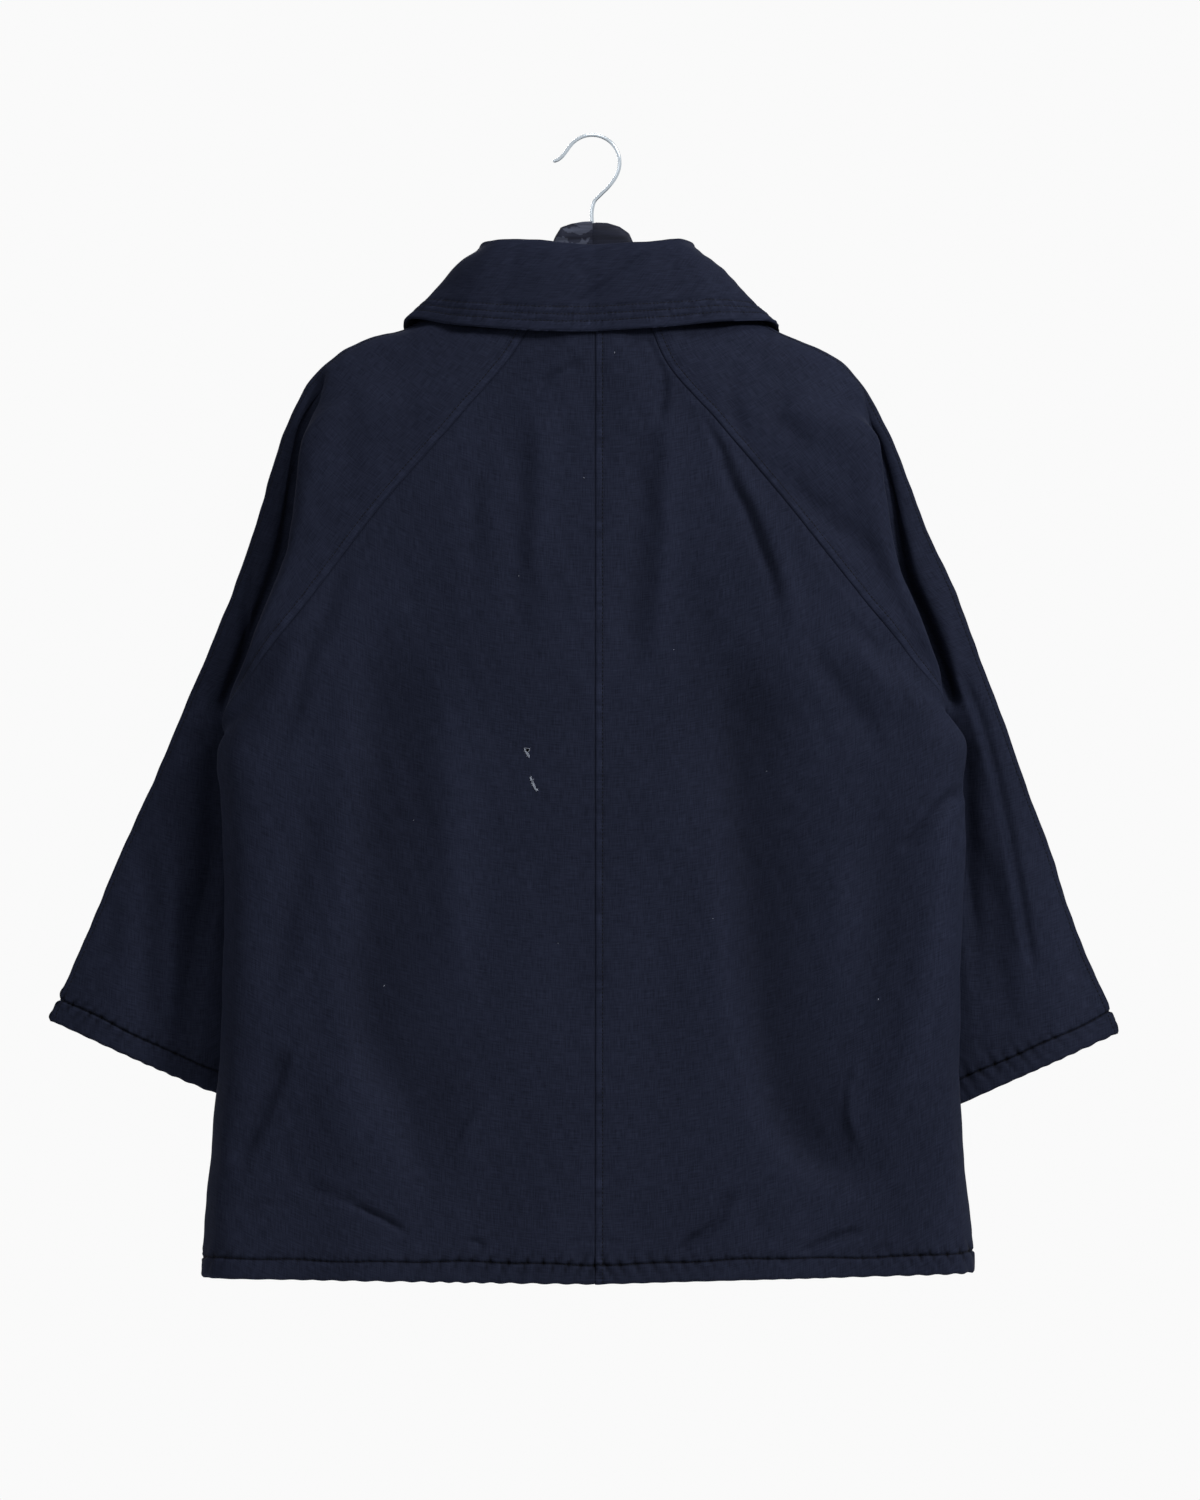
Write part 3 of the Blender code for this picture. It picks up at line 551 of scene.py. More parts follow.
# Broad folds and creases that cross from the back onto the sleeves' back halves.
YOKE_CREASES = (
    Crease(((104, 175), (114, 190), (112, 203), (114, 230), (126, 258)), 7, 2.6, 0.0, 0.35),
    Crease(((143, 196), (152, 208), (148, 228), (163, 247), (170, 268)), 8, 2.8, 0.0, 0.3),
    Crease(((143, 257), (158, 281), (176, 301), (193, 316), (217, 335), (232, 360), (254, 385)),
           10, 4.2, 0.0, 0.3),
    Crease(((205, 380), (217, 404), (237, 436), (254, 466), (271, 483)), 8, 3.6, 0.0, 0.35),
    Crease(((226, 376), (243, 398), (262, 425)), 7, -2.2, 0.0, 0.4),
    Crease(((-197, 182), (-200, 240), (-203, 306)), 10, 2.2, 0.0, 0.4),
    Crease(((-131, 220), (-155, 246), (-178, 280)), 12, 1.6, 0.0, 0.4),
    Crease(((-203, 340), (-209, 362), (-218, 390), (-236, 425), (-243, 460), (-258, 498), (-276, 522)),
           9, 4.2),
    Crease(((-230, 318), (-243, 334), (-252, 356)), 6, 2.0, 0.0, 0.4),
)
BACK_CREASES = (
    Crease(((-8, 181), (-23, 193), (-41, 203), (-47, 216)), 3.6, 2.4, 0.0, 0.3),
    Crease(((-44, 206), (-43, 250), (-46, 310), (-52, 380)), 12, -2.6, 0.0, 0.3),
    Crease(((-60, 214), (-61, 270), (-62, 330), (-60, 440)), 12, 2.6),
    Crease(((-92, 256), (-99, 330), (-97, 380)), 9, 2.0, 0.0, 0.4),
    Crease(((39, 160), (50, 178), (57, 194), (56, 212), (50, 240)), 4.0, 3.8, 0.0, 0.22),
    Crease(((61, 192), (59, 260), (57, 330), (54, 380), (44, 450)), 10, -3.0, 0.0, 0.25),
    Crease(((43, 226), (38, 290), (32, 360), (22, 460)), 13, 3.6),
    Crease(((84, 212), (102, 258), (111, 285), (124, 308), (132, 331), (142, 356), (150, 400)),
           5.4, 3.3, 0.0, 0.25),
    Crease(((108, 250), (127, 294), (143, 326), (158, 372), (165, 430)), 9, -2.8, 0.0, 0.3),
    Crease(((80, 330), (84, 420), (90, 520), (98, 620)), 20, 3.6, 0.0, 0.3),
    Crease(((-171, 380), (-178, 500), (-181, 600), (-183, 717), (-171, 758), (-153, 786), (-144, 821),
            (-131, 843), (-109, 851), (-92, 848)), 28, 9.0, 0.0, 0.18, 0.5),
    Crease(((-135, 400), (-120, 540), (-112, 660), (-114, 740)), 18, -3.4, 0.0, 0.3),
    Crease(((-225, 540), (-237, 580), (-251, 640), (-264, 720)), 12, 3.6, 0.0, 0.35),
    Crease(((-250, 742), (-266, 786), (-284, 825), (-296, 846)), 8, 5.2, 0.0, 0.2, -0.3),
    Crease(((-216, 740), (-206, 800), (-190, 848)), 24, -3.6, 0.0, 0.35),
    Crease(((-251, 812), (-250, 838), (-244, 856)), 6, 1.6, 0.0, 0.4),
    Crease(((-248, 856), (-224, 861), (-204, 869), (-188, 877), (-168, 887), (-150, 900)),
           3.4, 3.0, -0.5, 0.2),
    Crease(((-283, 889), (-279, 878), (-259, 870)), 4, 1.6, 0.0, 0.35),
    Crease(((-108, 905), (-98, 903), (-90, 911)), 3.2, 1.8, 0.0, 0.35),
    Crease(((116, 400), (119, 544), (126, 626), (132, 690), (141, 745), (150, 786), (166, 816), (190, 836),
            (216, 842), (240, 820)), 27, 13.0, 0.0, 0.18, 0.55),
    Crease(((292, 500), (286, 590), (276, 670), (262, 740), (243, 800), (222, 842)),
           20, -7.0, 0.0, 0.25, 0.2),
    Crease(((238, 540), (232, 650), (216, 740)), 15, 4.0, 0.0, 0.35),
    Crease(((196, 560), (200, 650), (196, 730)), 13, -2.4, 0.0, 0.35),
    Crease(((205, 378), (222, 420), (250, 460), (275, 490)), 8, -2.0, 0.0, 0.4),
    Crease(((160, 390), (190, 440), (225, 490), (250, 520)), 10, 2.2, 0.0, 0.4),
    Crease(((299, 531), (281, 550), (268, 566), (246, 588)), 4.6, 4.6, -1.2, 0.2),
    Crease(((67, 916), (75, 905), (91, 895), (102, 883), (107, 872), (118, 864)), 4.6, 4.0, 0.8, 0.16),
    Crease(((124, 905), (135, 889), (145, 872)), 7, 1.8, 0.0, 0.4),
    Crease(((166, 914), (189, 903), (218, 893)), 4.2, 3.2, 0.7, 0.2),
    Crease(((216, 918), (232, 910), (244, 905)), 3.4, 1.5, 0.0, 0.35),
    Crease(((146, 912), (150, 917), (157, 920)), 3.0, 1.6, 0.0, 0.4),
    Crease(((262, 919), (267, 915), (274, 911)), 3.2, 1.4, 0.0, 0.4),
    Crease(((-40, 880), (0, 884), (40, 882)), 3.0, 0.7, 0.0, 0.4),
    Crease(((-30, 904), (4, 903), (36, 905)), 3.0, 0.7, 0.0, 0.4),
    Crease(((-30, 560), (-44, 600), (-40, 640)), 12, 1.2, 0.0, 0.4),
    Crease(((30, 690), (52, 672), (80, 640)), 9, 1.2, 0.0, 0.4),
)
SLEEVE_BACK_CREASES = (
    Crease(((-226, 184), (-230, 200), (-238, 243), (-249, 298), (-257, 347), (-276, 396), (-292, 444),
            (-309, 480)), 8, 9.0, 0.0, 0.06, -0.3),
    Crease(((222, 190), (228, 208), (234, 243), (242, 290), (248, 340), (251, 360), (266, 392), (280, 428),
            (296, 474)), 6.5, 9.0, 0.0, 0.06, 0.3),
    Crease(((-309, 470), (-312, 560), (-311, 680), (-314, 800)), 17, 9.0, 0.0, 0.15),
    Crease(((298, 470), (303, 560), (303, 680), (306, 810)), 13, 8.0, 0.0, 0.15),
    Crease(((-283, 332), (-286, 370), (-289, 432)), 3.4, 3.2, 0.6),
    Crease(((-365, 560), (-370, 670), (-366, 748)), 12, 3.2),
    Crease(((-322, 600), (-330, 690), (-332, 760)), 12, 4.0),
    Crease(((-395, 620), (-404, 690)), 12, 1.6),
    Crease(((-344, 590), (-352, 680), (-352, 752)), 9, -2.0),
    Crease(((298, 428), (307, 452), (313, 465), (321, 488), (328, 513), (337, 549), (348, 611), (358, 670),
            (363, 704)), 4.4, 4.2, 0.9, 0.16),
    Crease(((289, 378), (292, 420), (300, 470)), 7, -2.0, 0.0, 0.35),
    Crease(((318, 560), (330, 660), (338, 752)), 13, 4.2),
    Crease(((396, 620), (404, 700)), 12, 2.0),
    Crease(((378, 600), (384, 690), (384, 740)), 11, -2.0),
)
SLEEVE_FRONT_CREASES = (
    Crease(((-150, 240), (-196, 300), (-230, 372)), 14, 2.4),
    Crease(((-262, 420), (-300, 470), (-330, 540)), 9, 2.6, 0.8),
    Crease(((-300, 560), (-330, 640), (-350, 730)), 11, 2.2),
    Crease(((158, 236), (200, 306), (226, 366)), 13, 2.2),
    Crease(((256, 408), (290, 476), (312, 532)), 9, 2.4, 0.8),
    Crease(((300, 580), (322, 650), (356, 748)), 12, 2.4),
)
FRONT_CREASES = (
    Crease(((-110, 380), (-118, 520), (-120, 690), (-128, 900)), 24, 4.0),
    Crease(((-184, 430), (-190, 600), (-196, 900)), 26, -3.0),
    Crease(((-236, 540), (-228, 640), (-232, 760)), 12, 2.0),
    Crease(((-70, 210), (-96, 290), (-112, 352)), 10, 2.2),
    Crease(((118, 360), (122, 540), (116, 700), (120, 880)), 24, 4.0),
    Crease(((184, 440), (192, 640), (190, 900)), 26, -3.0),
    Crease(((232, 530), (226, 650), (238, 790)), 12, 2.2),
    Crease(((72, 214), (92, 286), (118, 346)), 9, 2.0),
    Crease(((60, 872), (76, 892), (104, 906)), 5, 1.6),
    Crease(((-196, 866), (-170, 884), (-150, 904)), 5, 1.8),
)
COLLAR_CREASES = (
    Crease(((-16, 141), (-9, 137), (2, 128), (14, 120), (30, 108), (48, 93)), 3.8, 2.5, -0.9, 0.16),
    Crease(((-22, 104), (-12, 111), (-2, 122)), 6, 1.4, 0.0, 0.3),
    Crease(((75, 139), (82, 130), (91, 118)), 3.4, 1.8, -0.6, 0.2),
    Crease(((-20, 108), (10, 100), (40, 104)), 8, 0.8),
    Crease(((-92, 128), (-70, 140), (-40, 146)), 9, 0.7),
)
CREASES = {
    Cut.BACK: BACK_CREASES,
    Cut.FRONT: FRONT_CREASES,
    Cut.SLEEVE_BACK: SLEEVE_BACK_CREASES,
    Cut.SLEEVE_FRONT: SLEEVE_FRONT_CREASES,
}
SHARED_CREASES = {Cut.BACK: YOKE_CREASES, Cut.SLEEVE_BACK: YOKE_CREASES}


# --- finishes ---

class Nodes:
    """A small builder for a material's node tree."""

    def __init__(self, name: str) -> None:
        """Makes a material with an empty Principled tree."""
        self.material = bpy.data.materials.new(name)
        self.material.use_nodes = True
        self.tree = self.material.node_tree
        self.shader = self.tree.nodes["Principled BSDF"]

    def add(self, kind: str, **values: object) -> bpy.types.Node:
        """Adds a node and sets its properties.

        Args:
            kind: the node's type name.
            values: properties of the node, by name.

        Returns:
            The node.
        """
        made = self.tree.nodes.new(kind)
        for name, value in values.items():
            setattr(made, name, value)
        return made

    def join(self, output: bpy.types.NodeSocket, target: bpy.types.NodeSocket) -> None:
        """Links an output to an input."""
        self.tree.links.new(output, target)

    def give(self, **values: object) -> None:
        """Sets the shader's own sockets, by their names with lines for spaces."""
        for name, value in values.items():
            self.shader.inputs[name.replace("_", " ")].default_value = value

    def noise(self, vector: bpy.types.NodeSocket, stretch: tuple[float, float, float],
              detail: float) -> bpy.types.NodeSocket:
        """A noise that is stretched by a scale along each axis.

        Args:
            vector: the coordinates.
            stretch: noise cells for each metre along each axis.
            detail: the noise's detail.

        Returns:
            The noise's value.
        """
        mapping = self.add("ShaderNodeMapping")
        mapping.inputs["Scale"].default_value = stretch
        self.join(vector, mapping.inputs["Vector"])
        texture = self.add("ShaderNodeTexNoise")
        texture.inputs["Scale"].default_value = 1.0
        texture.inputs["Detail"].default_value = detail
        self.join(mapping.outputs["Vector"], texture.inputs["Vector"])
        return texture.outputs["Fac"]

    def maths(self, operation: str, first: bpy.types.NodeSocket | float,
              second: bpy.types.NodeSocket | float) -> bpy.types.NodeSocket:
        """A sum, product or the like.

        Args:
            operation: the Math node's operation.
            first: its first number or output.
            second: its second one.

        Returns:
            The result.
        """
        made = self.add("ShaderNodeMath", operation=operation)
        for socket, value in zip(made.inputs, (first, second)):
            if isinstance(value, (int, float)):
                socket.default_value = value
            else:
                self.join(value, socket)
        return made.outputs[0]

    def bump(self, height: bpy.types.NodeSocket, strength: float, distance: float) -> None:
        """Raises the surface where a value is high.

        Args:
            height: the value.
            strength: how strongly it shows.
            distance: the height that one stands for, in metres.
        """
        made = self.add("ShaderNodeBump")
        made.inputs["Strength"].default_value = strength
        made.inputs["Distance"].default_value = distance
        self.join(height, made.inputs["Height"])
        self.join(made.outputs["Normal"], self.shader.inputs["Normal"])

    def ramp(self, value: bpy.types.NodeSocket, low: Colour, high: Colour, start: float,
             end: float) -> bpy.types.NodeSocket:
        """A colour that goes from one to another with a value.

        Args:
            value: what it follows.
            low: the colour up to the start.
            high: the colour from the end on.
            start: the value where it begins to change.
            end: the value where the change is over.

        Returns:
            The colour.
        """
        made = self.add("ShaderNodeValToRGB")
        made.color_ramp.elements[0].position, made.color_ramp.elements[0].color = start, (*low, 1.0)
        made.color_ramp.elements[1].position, made.color_ramp.elements[1].color = end, (*high, 1.0)
        self.join(value, made.inputs["Fac"])
        return made.outputs["Color"]


@dataclass(frozen=True)
class ClothFinish:
    """A matt plain-woven cloth, its threads and slubs laid along the piece's own UV map."""

    name: str
    dark: Colour
    light: Colour
    range: tuple[float, float] = (0.36, 0.64)
    roughness: float = 0.8
    specular: float = 0.05
    threads: float = 1300.0
    slub: float = 80.0
    clouds: tuple[float, float, float] = (10.0, 5.0, 1.0)
    cloud_share: float = 0.15
    bump: float = 0.3
    bump_distance: float = 0.0004

    def build(self) -> bpy.types.Material:
        """Makes the material: crossed thread noises for the colour and the bump, with painted shade and light
        of seams, hems and folds.

        Returns:
            The material.
        """
        nodes = Nodes(self.name)
        place = nodes.add("ShaderNodeUVMap", uv_map="cloth").outputs["UV"]
        warp = nodes.noise(place, (self.threads, self.slub, 1.0), 2.0)
        weft = nodes.noise(place, (self.slub, self.threads, 1.0), 2.0)
        cloudy = nodes.noise(place, self.clouds, 1.0)
        weave = nodes.maths("ADD", nodes.maths("MULTIPLY", warp, 0.5), nodes.maths("MULTIPLY", weft, 0.5))
        tone = nodes.maths("ADD", nodes.maths("MULTIPLY", weave, 1.0 - self.cloud_share),
                           nodes.maths("MULTIPLY", cloudy, self.cloud_share))
        # The attribute holds painted shade and light: seam grooves, stitch channels, puckers and folds.
        sewn = nodes.add("ShaderNodeAttribute", attribute_name="tone").outputs["Fac"]
        toned = nodes.add("ShaderNodeVectorMath", operation="SCALE")
        nodes.join(nodes.ramp(tone, self.dark, self.light, *self.range), toned.inputs[0])
        nodes.join(nodes.maths("ADD", sewn, 1.0), toned.inputs["Scale"])
        nodes.join(toned.outputs["Vector"], nodes.shader.inputs["Base Color"])
        nodes.bump(weave, self.bump, self.bump_distance)
        nodes.give(Roughness=self.roughness, Specular_IOR_Level=self.specular)
        return nodes.material


@dataclass(frozen=True)
class PlainFinish:
    """One even colour, such as thread, resin or the floor."""

    name: str
    colour: Colour
    roughness: float
    specular: float = 0.5
    metallic: float = 0.0
    glow: float = 0.0

    def build(self) -> bpy.types.Material:
        """Makes the material; its glow stands for light that a white studio throws back.

        Returns:
            The material.
        """
        nodes = Nodes(self.name)
        nodes.give(Base_Color=(*self.colour, 1.0), Roughness=self.roughness, Metallic=self.metallic,
                   Specular_IOR_Level=self.specular, Emission_Color=(*self.colour, 1.0),
                   Emission_Strength=self.glow)
        return nodes.material


@dataclass(frozen=True)
class WoodFinish:
    """Black-stained wood: long grain and paler rubbed patches."""

    name: str
    dark: Colour
    light: Colour
    worn: Colour
    wear: float
    range: tuple[float, float] = (0.35, 0.68)
    grain: tuple[float, float, float] = (30.0, 500.0, 420.0)
    patches: tuple[float, float, float] = (70.0, 60.0, 120.0)
    roughness: float = 0.55
    specular: float = 0.1
    bump: float = 0.25
    bump_distance: float = 0.0005

    def build(self) -> bpy.types.Material:
        """Makes the material, with its grain along X in object coordinates.

        Returns:
            The material.
        """
        nodes = Nodes(self.name)
        place = nodes.add("ShaderNodeTexCoord").outputs["Object"]
        grain = nodes.noise(place, self.grain, 4.0)
        patches = nodes.noise(place, self.patches, 5.0)
        stained = nodes.ramp(grain, self.dark, self.light, *self.range)
        rubbed = nodes.maths("MULTIPLY", nodes.maths("GREATER_THAN", patches, 1.0 - self.wear), grain)
        mix = nodes.add("ShaderNodeMix", data_type="RGBA")
        nodes.join(rubbed, mix.inputs["Factor"])
        nodes.join(stained, mix.inputs["A"])
        mix.inputs["B"].default_value = (*self.worn, 1.0)
        nodes.join(mix.outputs["Result"], nodes.shader.inputs["Base Color"])
        nodes.bump(grain, self.bump, self.bump_distance)
        nodes.give(Roughness=self.roughness, Specular_IOR_Level=self.specular)
        return nodes.material


NAVY = ClothFinish("navy_cloth", (0.0066, 0.0084, 0.0172), (0.0172, 0.0210, 0.0405))
NAVY_THREAD = PlainFinish("navy_thread", (0.0022, 0.0026, 0.0046), 0.7, 0.1)
FRAYED = PlainFinish("frayed_fibre", (0.30, 0.33, 0.40), 0.8, 0.2)
HOLE = PlainFinish("hole_shadow", (0.0010, 0.0011, 0.0016), 0.9, 0.0)
LINT = PlainFinish("lint", (0.22, 0.24, 0.30), 0.9, 0.1)
RESIN = PlainFinish("button_resin", (0.010, 0.012, 0.022), 0.32, 0.5)
STEEL = PlainFinish("polished_steel", (0.46, 0.51, 0.56), 0.22, 0.5, 1.0)
WORN_WOOD = WoodFinish("stained_wood_left", (0.006, 0.007, 0.014), (0.020, 0.023, 0.040),
                       (0.08, 0.09, 0.13), 0.50)
DARK_WOOD = WoodFinish("stained_wood_right", (0.005, 0.006, 0.012), (0.012, 0.014, 0.026),
                       (0.022, 0.024, 0.036), 0.34)
FLOOR = PlainFinish("pale_floor", (0.88, 0.88, 0.87), 0.85, 0.0, glow=0.22)


# --- meshes ---

def linked(name: str, mesh: bpy.types.Mesh, finish: bpy.types.Material) -> bpy.types.Object:
    """Gives a mesh its finish and links it to the scene.

    Args:
        name: the object's name.
        mesh: its mesh.
        finish: its material.

    Returns:
        The object.
    """
    mesh.materials.append(finish)
    made = bpy.data.objects.new(name, mesh)
    bpy.context.scene.collection.objects.link(made)
    return made


def mesh_object(name: str, points: np.ndarray, faces: np.ndarray, finish: bpy.types.Material,
                flat_map: np.ndarray | None = None, tone: np.ndarray | None = None) -> bpy.types.Object:
    """Makes a smooth-shaded mesh object.

    Args:
        name: the object's name.
        points: its points in millimetres.
        faces: rows of point numbers, all of one length.
        finish: its material.
        flat_map: a place on the flat cloth, in metres, for each point.
        tone: how much lighter or darker than its finish each point is.

    Returns:
        The object, linked to the scene.
    """
    mesh = bpy.data.meshes.new(name)
    corners = faces.shape[1]
    mesh.vertices.add(len(points))
    mesh.vertices.foreach_set("co", (points * MM).astype(np.float32).ravel())
    mesh.loops.add(faces.size)
    mesh.loops.foreach_set("vertex_index", faces.astype(np.int32).ravel())
    mesh.polygons.add(len(faces))
    mesh.polygons.foreach_set("loop_start", (np.arange(len(faces)) * corners).astype(np.int32))
    mesh.update(calc_edges=True)
    mesh.validate()
    mesh.shade_smooth()
    if flat_map is not None:
        layer = mesh.uv_layers.new(name="cloth")
        layer.data.foreach_set("uv", flat_map[faces.ravel()].astype(np.float32).ravel())
    if tone is not None:
        mesh.attributes.new("tone", "FLOAT", "POINT").data.foreach_set("value", tone.astype(np.float32))
    return linked(name, mesh, finish)


def signed_volume(points: np.ndarray, faces: np.ndarray) -> float:
    """Six times the volume that a closed mesh of quads encloses, negative if it is inside out."""
    a, b, c, d = (points[faces[:, k]] for k in range(4))
    return float(np.sum(a * np.cross(b, c)) + np.sum(a * np.cross(c, d)))


def wall_faces(rows: int, columns: int) -> np.ndarray:
    """Quads of a closed wall: the outer grid, the inner grid behind it and the strip round their edges.

    Args:
        rows: the rows of both grids.
        columns: their columns.

    Returns:
        Four point numbers for each quad; the inner grid's points follow the outer grid's.
    """
    index = np.arange(rows * columns).reshape(rows, columns)
    behind = index + rows * columns
    outer = np.stack([index[:-1, :-1], index[1:, :-1], index[1:, 1:], index[:-1, 1:]], -1).reshape(-1, 4)
    inner = np.stack([behind[:-1, :-1], behind[:-1, 1:], behind[1:, 1:], behind[1:, :-1]], -1).reshape(-1, 4)
    rim = np.concatenate([index[0, :-1], index[:-1, -1], index[-1, :0:-1], index[:0:-1, 0]])
    after = np.roll(rim, -1)
    strip = np.stack([rim, after, after + rows * columns, rim + rows * columns], -1)
    return np.concatenate([outer, inner, strip])


def cloth_wall(name: str, laid: np.ndarray, outer: np.ndarray, inner: np.ndarray, tone: np.ndarray,
               finish: bpy.types.Material) -> bpy.types.Object:
    """A closed cloth wall between two grids, with the flat cloth's own map.

    Args:
        name: the object's name.
        laid: the smooth grid that both follow, from which the map is measured.
        outer: the outer grid of points.
        inner: the inner grid of points.
        tone: how much lighter or darker the outer grid's points are.
        finish: its material.

    Returns:
        The object.
    """
    points = np.concatenate([outer.reshape(-1, 3), inner.reshape(-1, 3)])
    faces = wall_faces(*outer.shape[:2])
    if signed_volume(points, faces) < 0:
        faces = faces[:, ::-1]
    flat = np.stack([lengths_along(laid, 1), lengths_along(laid, 0)], axis=-1).reshape(-1, 2) * MM
    return mesh_object(name, points, faces, finish, np.concatenate([flat, flat]),
                       np.concatenate([tone.ravel(), np.zeros(tone.size)]))


def ring_quads(rings: int, sides: int) -> np.ndarray:
    """Quads between neighbouring rings of points.

    Args:
        rings: how many rings follow each other.
        sides: how many points each has.

    Returns:
        Four point numbers for each quad.
    """
    index = np.arange(rings * sides).reshape(rings, sides)
    after = np.roll(index, -1, axis=1)
    return np.stack([index[:-1], after[:-1], after[1:], index[1:]], -1).reshape(-1, 4)


def swept(route: np.ndarray, radius: np.ndarray, sides: int) -> tuple[np.ndarray, np.ndarray]:
    """A closed round tube along a route.

    Args:
        route: its middle points.
        radius: its radius at each point.
        sides: how many sides its section has.

    Returns:
        The tube's points and quads; each end closes on a middle point.
    """
    way = np.gradient(route, axis=0)
    way /= np.linalg.norm(way, axis=1, keepdims=True)
    least = np.argmin(abs(way).max(axis=0))
    first = np.cross(way, np.eye(3)[least])
    first /= np.linalg.norm(first, axis=1, keepdims=True)
    second = np.cross(way, first)
    turn = np.arange(sides) * math.tau / sides
    rings = (route[:, None] + radius[:, None, None] * (first[:, None] * np.cos(turn)[None, :, None]
                                                       + second[:, None] * np.sin(turn)[None, :, None]))
    points = np.concatenate([rings.reshape(-1, 3), route[:1], route[-1:]])
    start, end = np.full(sides, len(route) * sides), np.full(sides, len(route) * sides + 1)
    first_ring = np.arange(sides)
    last_ring = first_ring + start - sides
    near = np.stack([np.roll(first_ring, -1), first_ring, start, start], -1)
    far = np.stack([last_ring, np.roll(last_ring, -1), end, end], -1)
    return points, np.concatenate([ring_quads(len(route), sides), near, far])


def from_polygons(name: str, points: np.ndarray, faces: list[tuple[int, ...]],
                  finish: bpy.types.Material) -> bpy.types.Object:
    """A smooth mesh object from faces of any length.

    Args:
        name: the object's name.
        points: its points in millimetres.
        faces: the point numbers of each face.
        finish: its material.

    Returns:
        The object.
    """
    mesh = bpy.data.meshes.new(name)
    mesh.from_pydata((np.asarray(points, float) * MM).tolist(), [], faces)
    mesh.validate()
    mesh.shade_smooth()
    return linked(name, mesh, finish)


def tubes(name: str, routes: list[np.ndarray], radii: list[np.ndarray], sides: int,
          finish: bpy.types.Material) -> bpy.types.Object:
    """Many round tubes as one object; the quads at each end are written as triangles.

    Args:
        name: the object's name.
        routes: the middle points of each tube.
        radii: its radius at each of them.
        sides: how many sides its section has.
        finish: its material.

    Returns:
        The object.
    """
    points, faces, count = [], [], 0
    for route, radius in zip(routes, radii):
        made, quads = swept(route, radius, sides)
        points.append(made)
        faces += [tuple(dict.fromkeys(int(corner) + count for corner in quad)) for quad in quads]
        count += len(made)
    return from_polygons(name, np.concatenate(points), faces, finish)


# --- sewing ---

@dataclass(frozen=True)
class Path:
    """A line on the cloth's surface, with the cloth's normal at each point."""

    points: np.ndarray
    normals: np.ndarray

    def trimmed(self, start: float, end: float) -> "Path":
        """The path without its ends.

        Args:
            start: the length left out at its start.
            end: the length left out at its end.

        Returns:
            What is left of it.
        """
        run = run_of(self.points)
        kept = (run >= start) & (run <= run[-1] - end)
        return Path(self.points[kept], self.normals[kept])


def line_at(away: np.ndarray, level: np.ndarray | float, points: np.ndarray, normals: np.ndarray) -> Path:
    """A line across the rows of a grid where a distance first reaches a level, between two columns.

    Args:
        away: the distance, rising along each row.
        level: the level, one for all rows or one for each.
        points: the grid's points.
        normals: its normals.

    Returns:
        One point for each row.
    """
    after = np.clip(np.argmax(away >= np.reshape(level, (-1, 1)), axis=1), 1, away.shape[1] - 1)
    rows = np.arange(len(away))
    gap = away[rows, after] - away[rows, after - 1]
    share = np.clip((level - away[rows, after - 1]) / gap, 0, 1)[:, None]
    return Path(points[rows, after - 1] * (1 - share) + points[rows, after] * share, normals[rows, after])


@dataclass(frozen=True)
class Stitching:
    """Rows of lockstitch, each stitch a small flattened bead that sinks into the cloth at both ends."""

    pitch: float = 3.4
    length: float = 2.5
    half_width: float = 0.42
    height: float = 0.34
    sink: float = 0.12

    def bead(self) -> np.ndarray:
        """One stitch: a round section that swells towards its middle.

        Returns:
            Its rings of points, each as the distances along, aside and up.
        """
        along = np.array([-0.5, -0.3, 0.0, 0.3, 0.5]) * self.length
        swell = np.array([0.25, 0.85, 1.0, 0.85, 0.25])
        turn = np.arange(6) * math.tau / 6
        aside = np.outer(swell, np.cos(turn)) * self.half_width
        up = np.outer(swell, np.sin(turn)) * self.height - self.sink * (1 - swell)[:, None]
        return np.stack([np.broadcast_to(along[:, None], aside.shape), aside, up], axis=-1)

    def sew(self, name: str, paths: list[Path], finish: bpy.types.Material) -> bpy.types.Object:
        """Sews along paths.

        Args:
            name: the object's name.
            paths: the lines on the cloth.
            finish: the thread's material.

        Returns:
            One object with every stitch.
        """
        places, ways, ups = [], [], []
        for path in paths:
            run = run_of(path.points)
            where = np.arange(self.pitch / 2, run[-1], self.pitch)
            point = read_at(where, run, path.points)
            way = np.gradient(point, axis=0)
            places.append(point)
            ways.append(way / np.linalg.norm(way, axis=1, keepdims=True))
            ups.append(read_at(where, run, path.normals))
        place, way, up = np.concatenate(places), np.concatenate(ways), np.concatenate(ups)
        up -= way * np.sum(up * way, axis=1, keepdims=True)
        up /= np.linalg.norm(up, axis=1, keepdims=True)
        aside = np.cross(way, up)
        bead = self.bead()
        rings, sides = bead.shape[:2]
        basis = np.stack([way, aside, up], axis=1)
        points = place[:, None, None] + np.einsum("rsk,nkc->nrsc", bead, basis)
        index = np.arange(rings * sides).reshape(rings, sides)
        after = np.roll(index, -1, axis=1)
        body = np.stack([index[:-1], index[1:], after[1:], after[:-1]], -1).reshape(-1, 4)
        caps = np.array([[0, 1, 2, 3], [0, 3, 4, 5], [3, 2, 1, 0], [5, 4, 3, 0]])
        caps[2:] += (rings - 1) * sides
        faces = np.concatenate([body, caps])
        offsets = (np.arange(len(place)) * rings * sides)[:, None, None]
        every = (faces[None] + offsets).reshape(-1, 4)
        flat = points.reshape(-1, 3)
        if signed_volume(flat, every) < 0:
            every = every[:, ::-1]
        return mesh_object(name, flat, every, finish)


# --- cloth panels ---

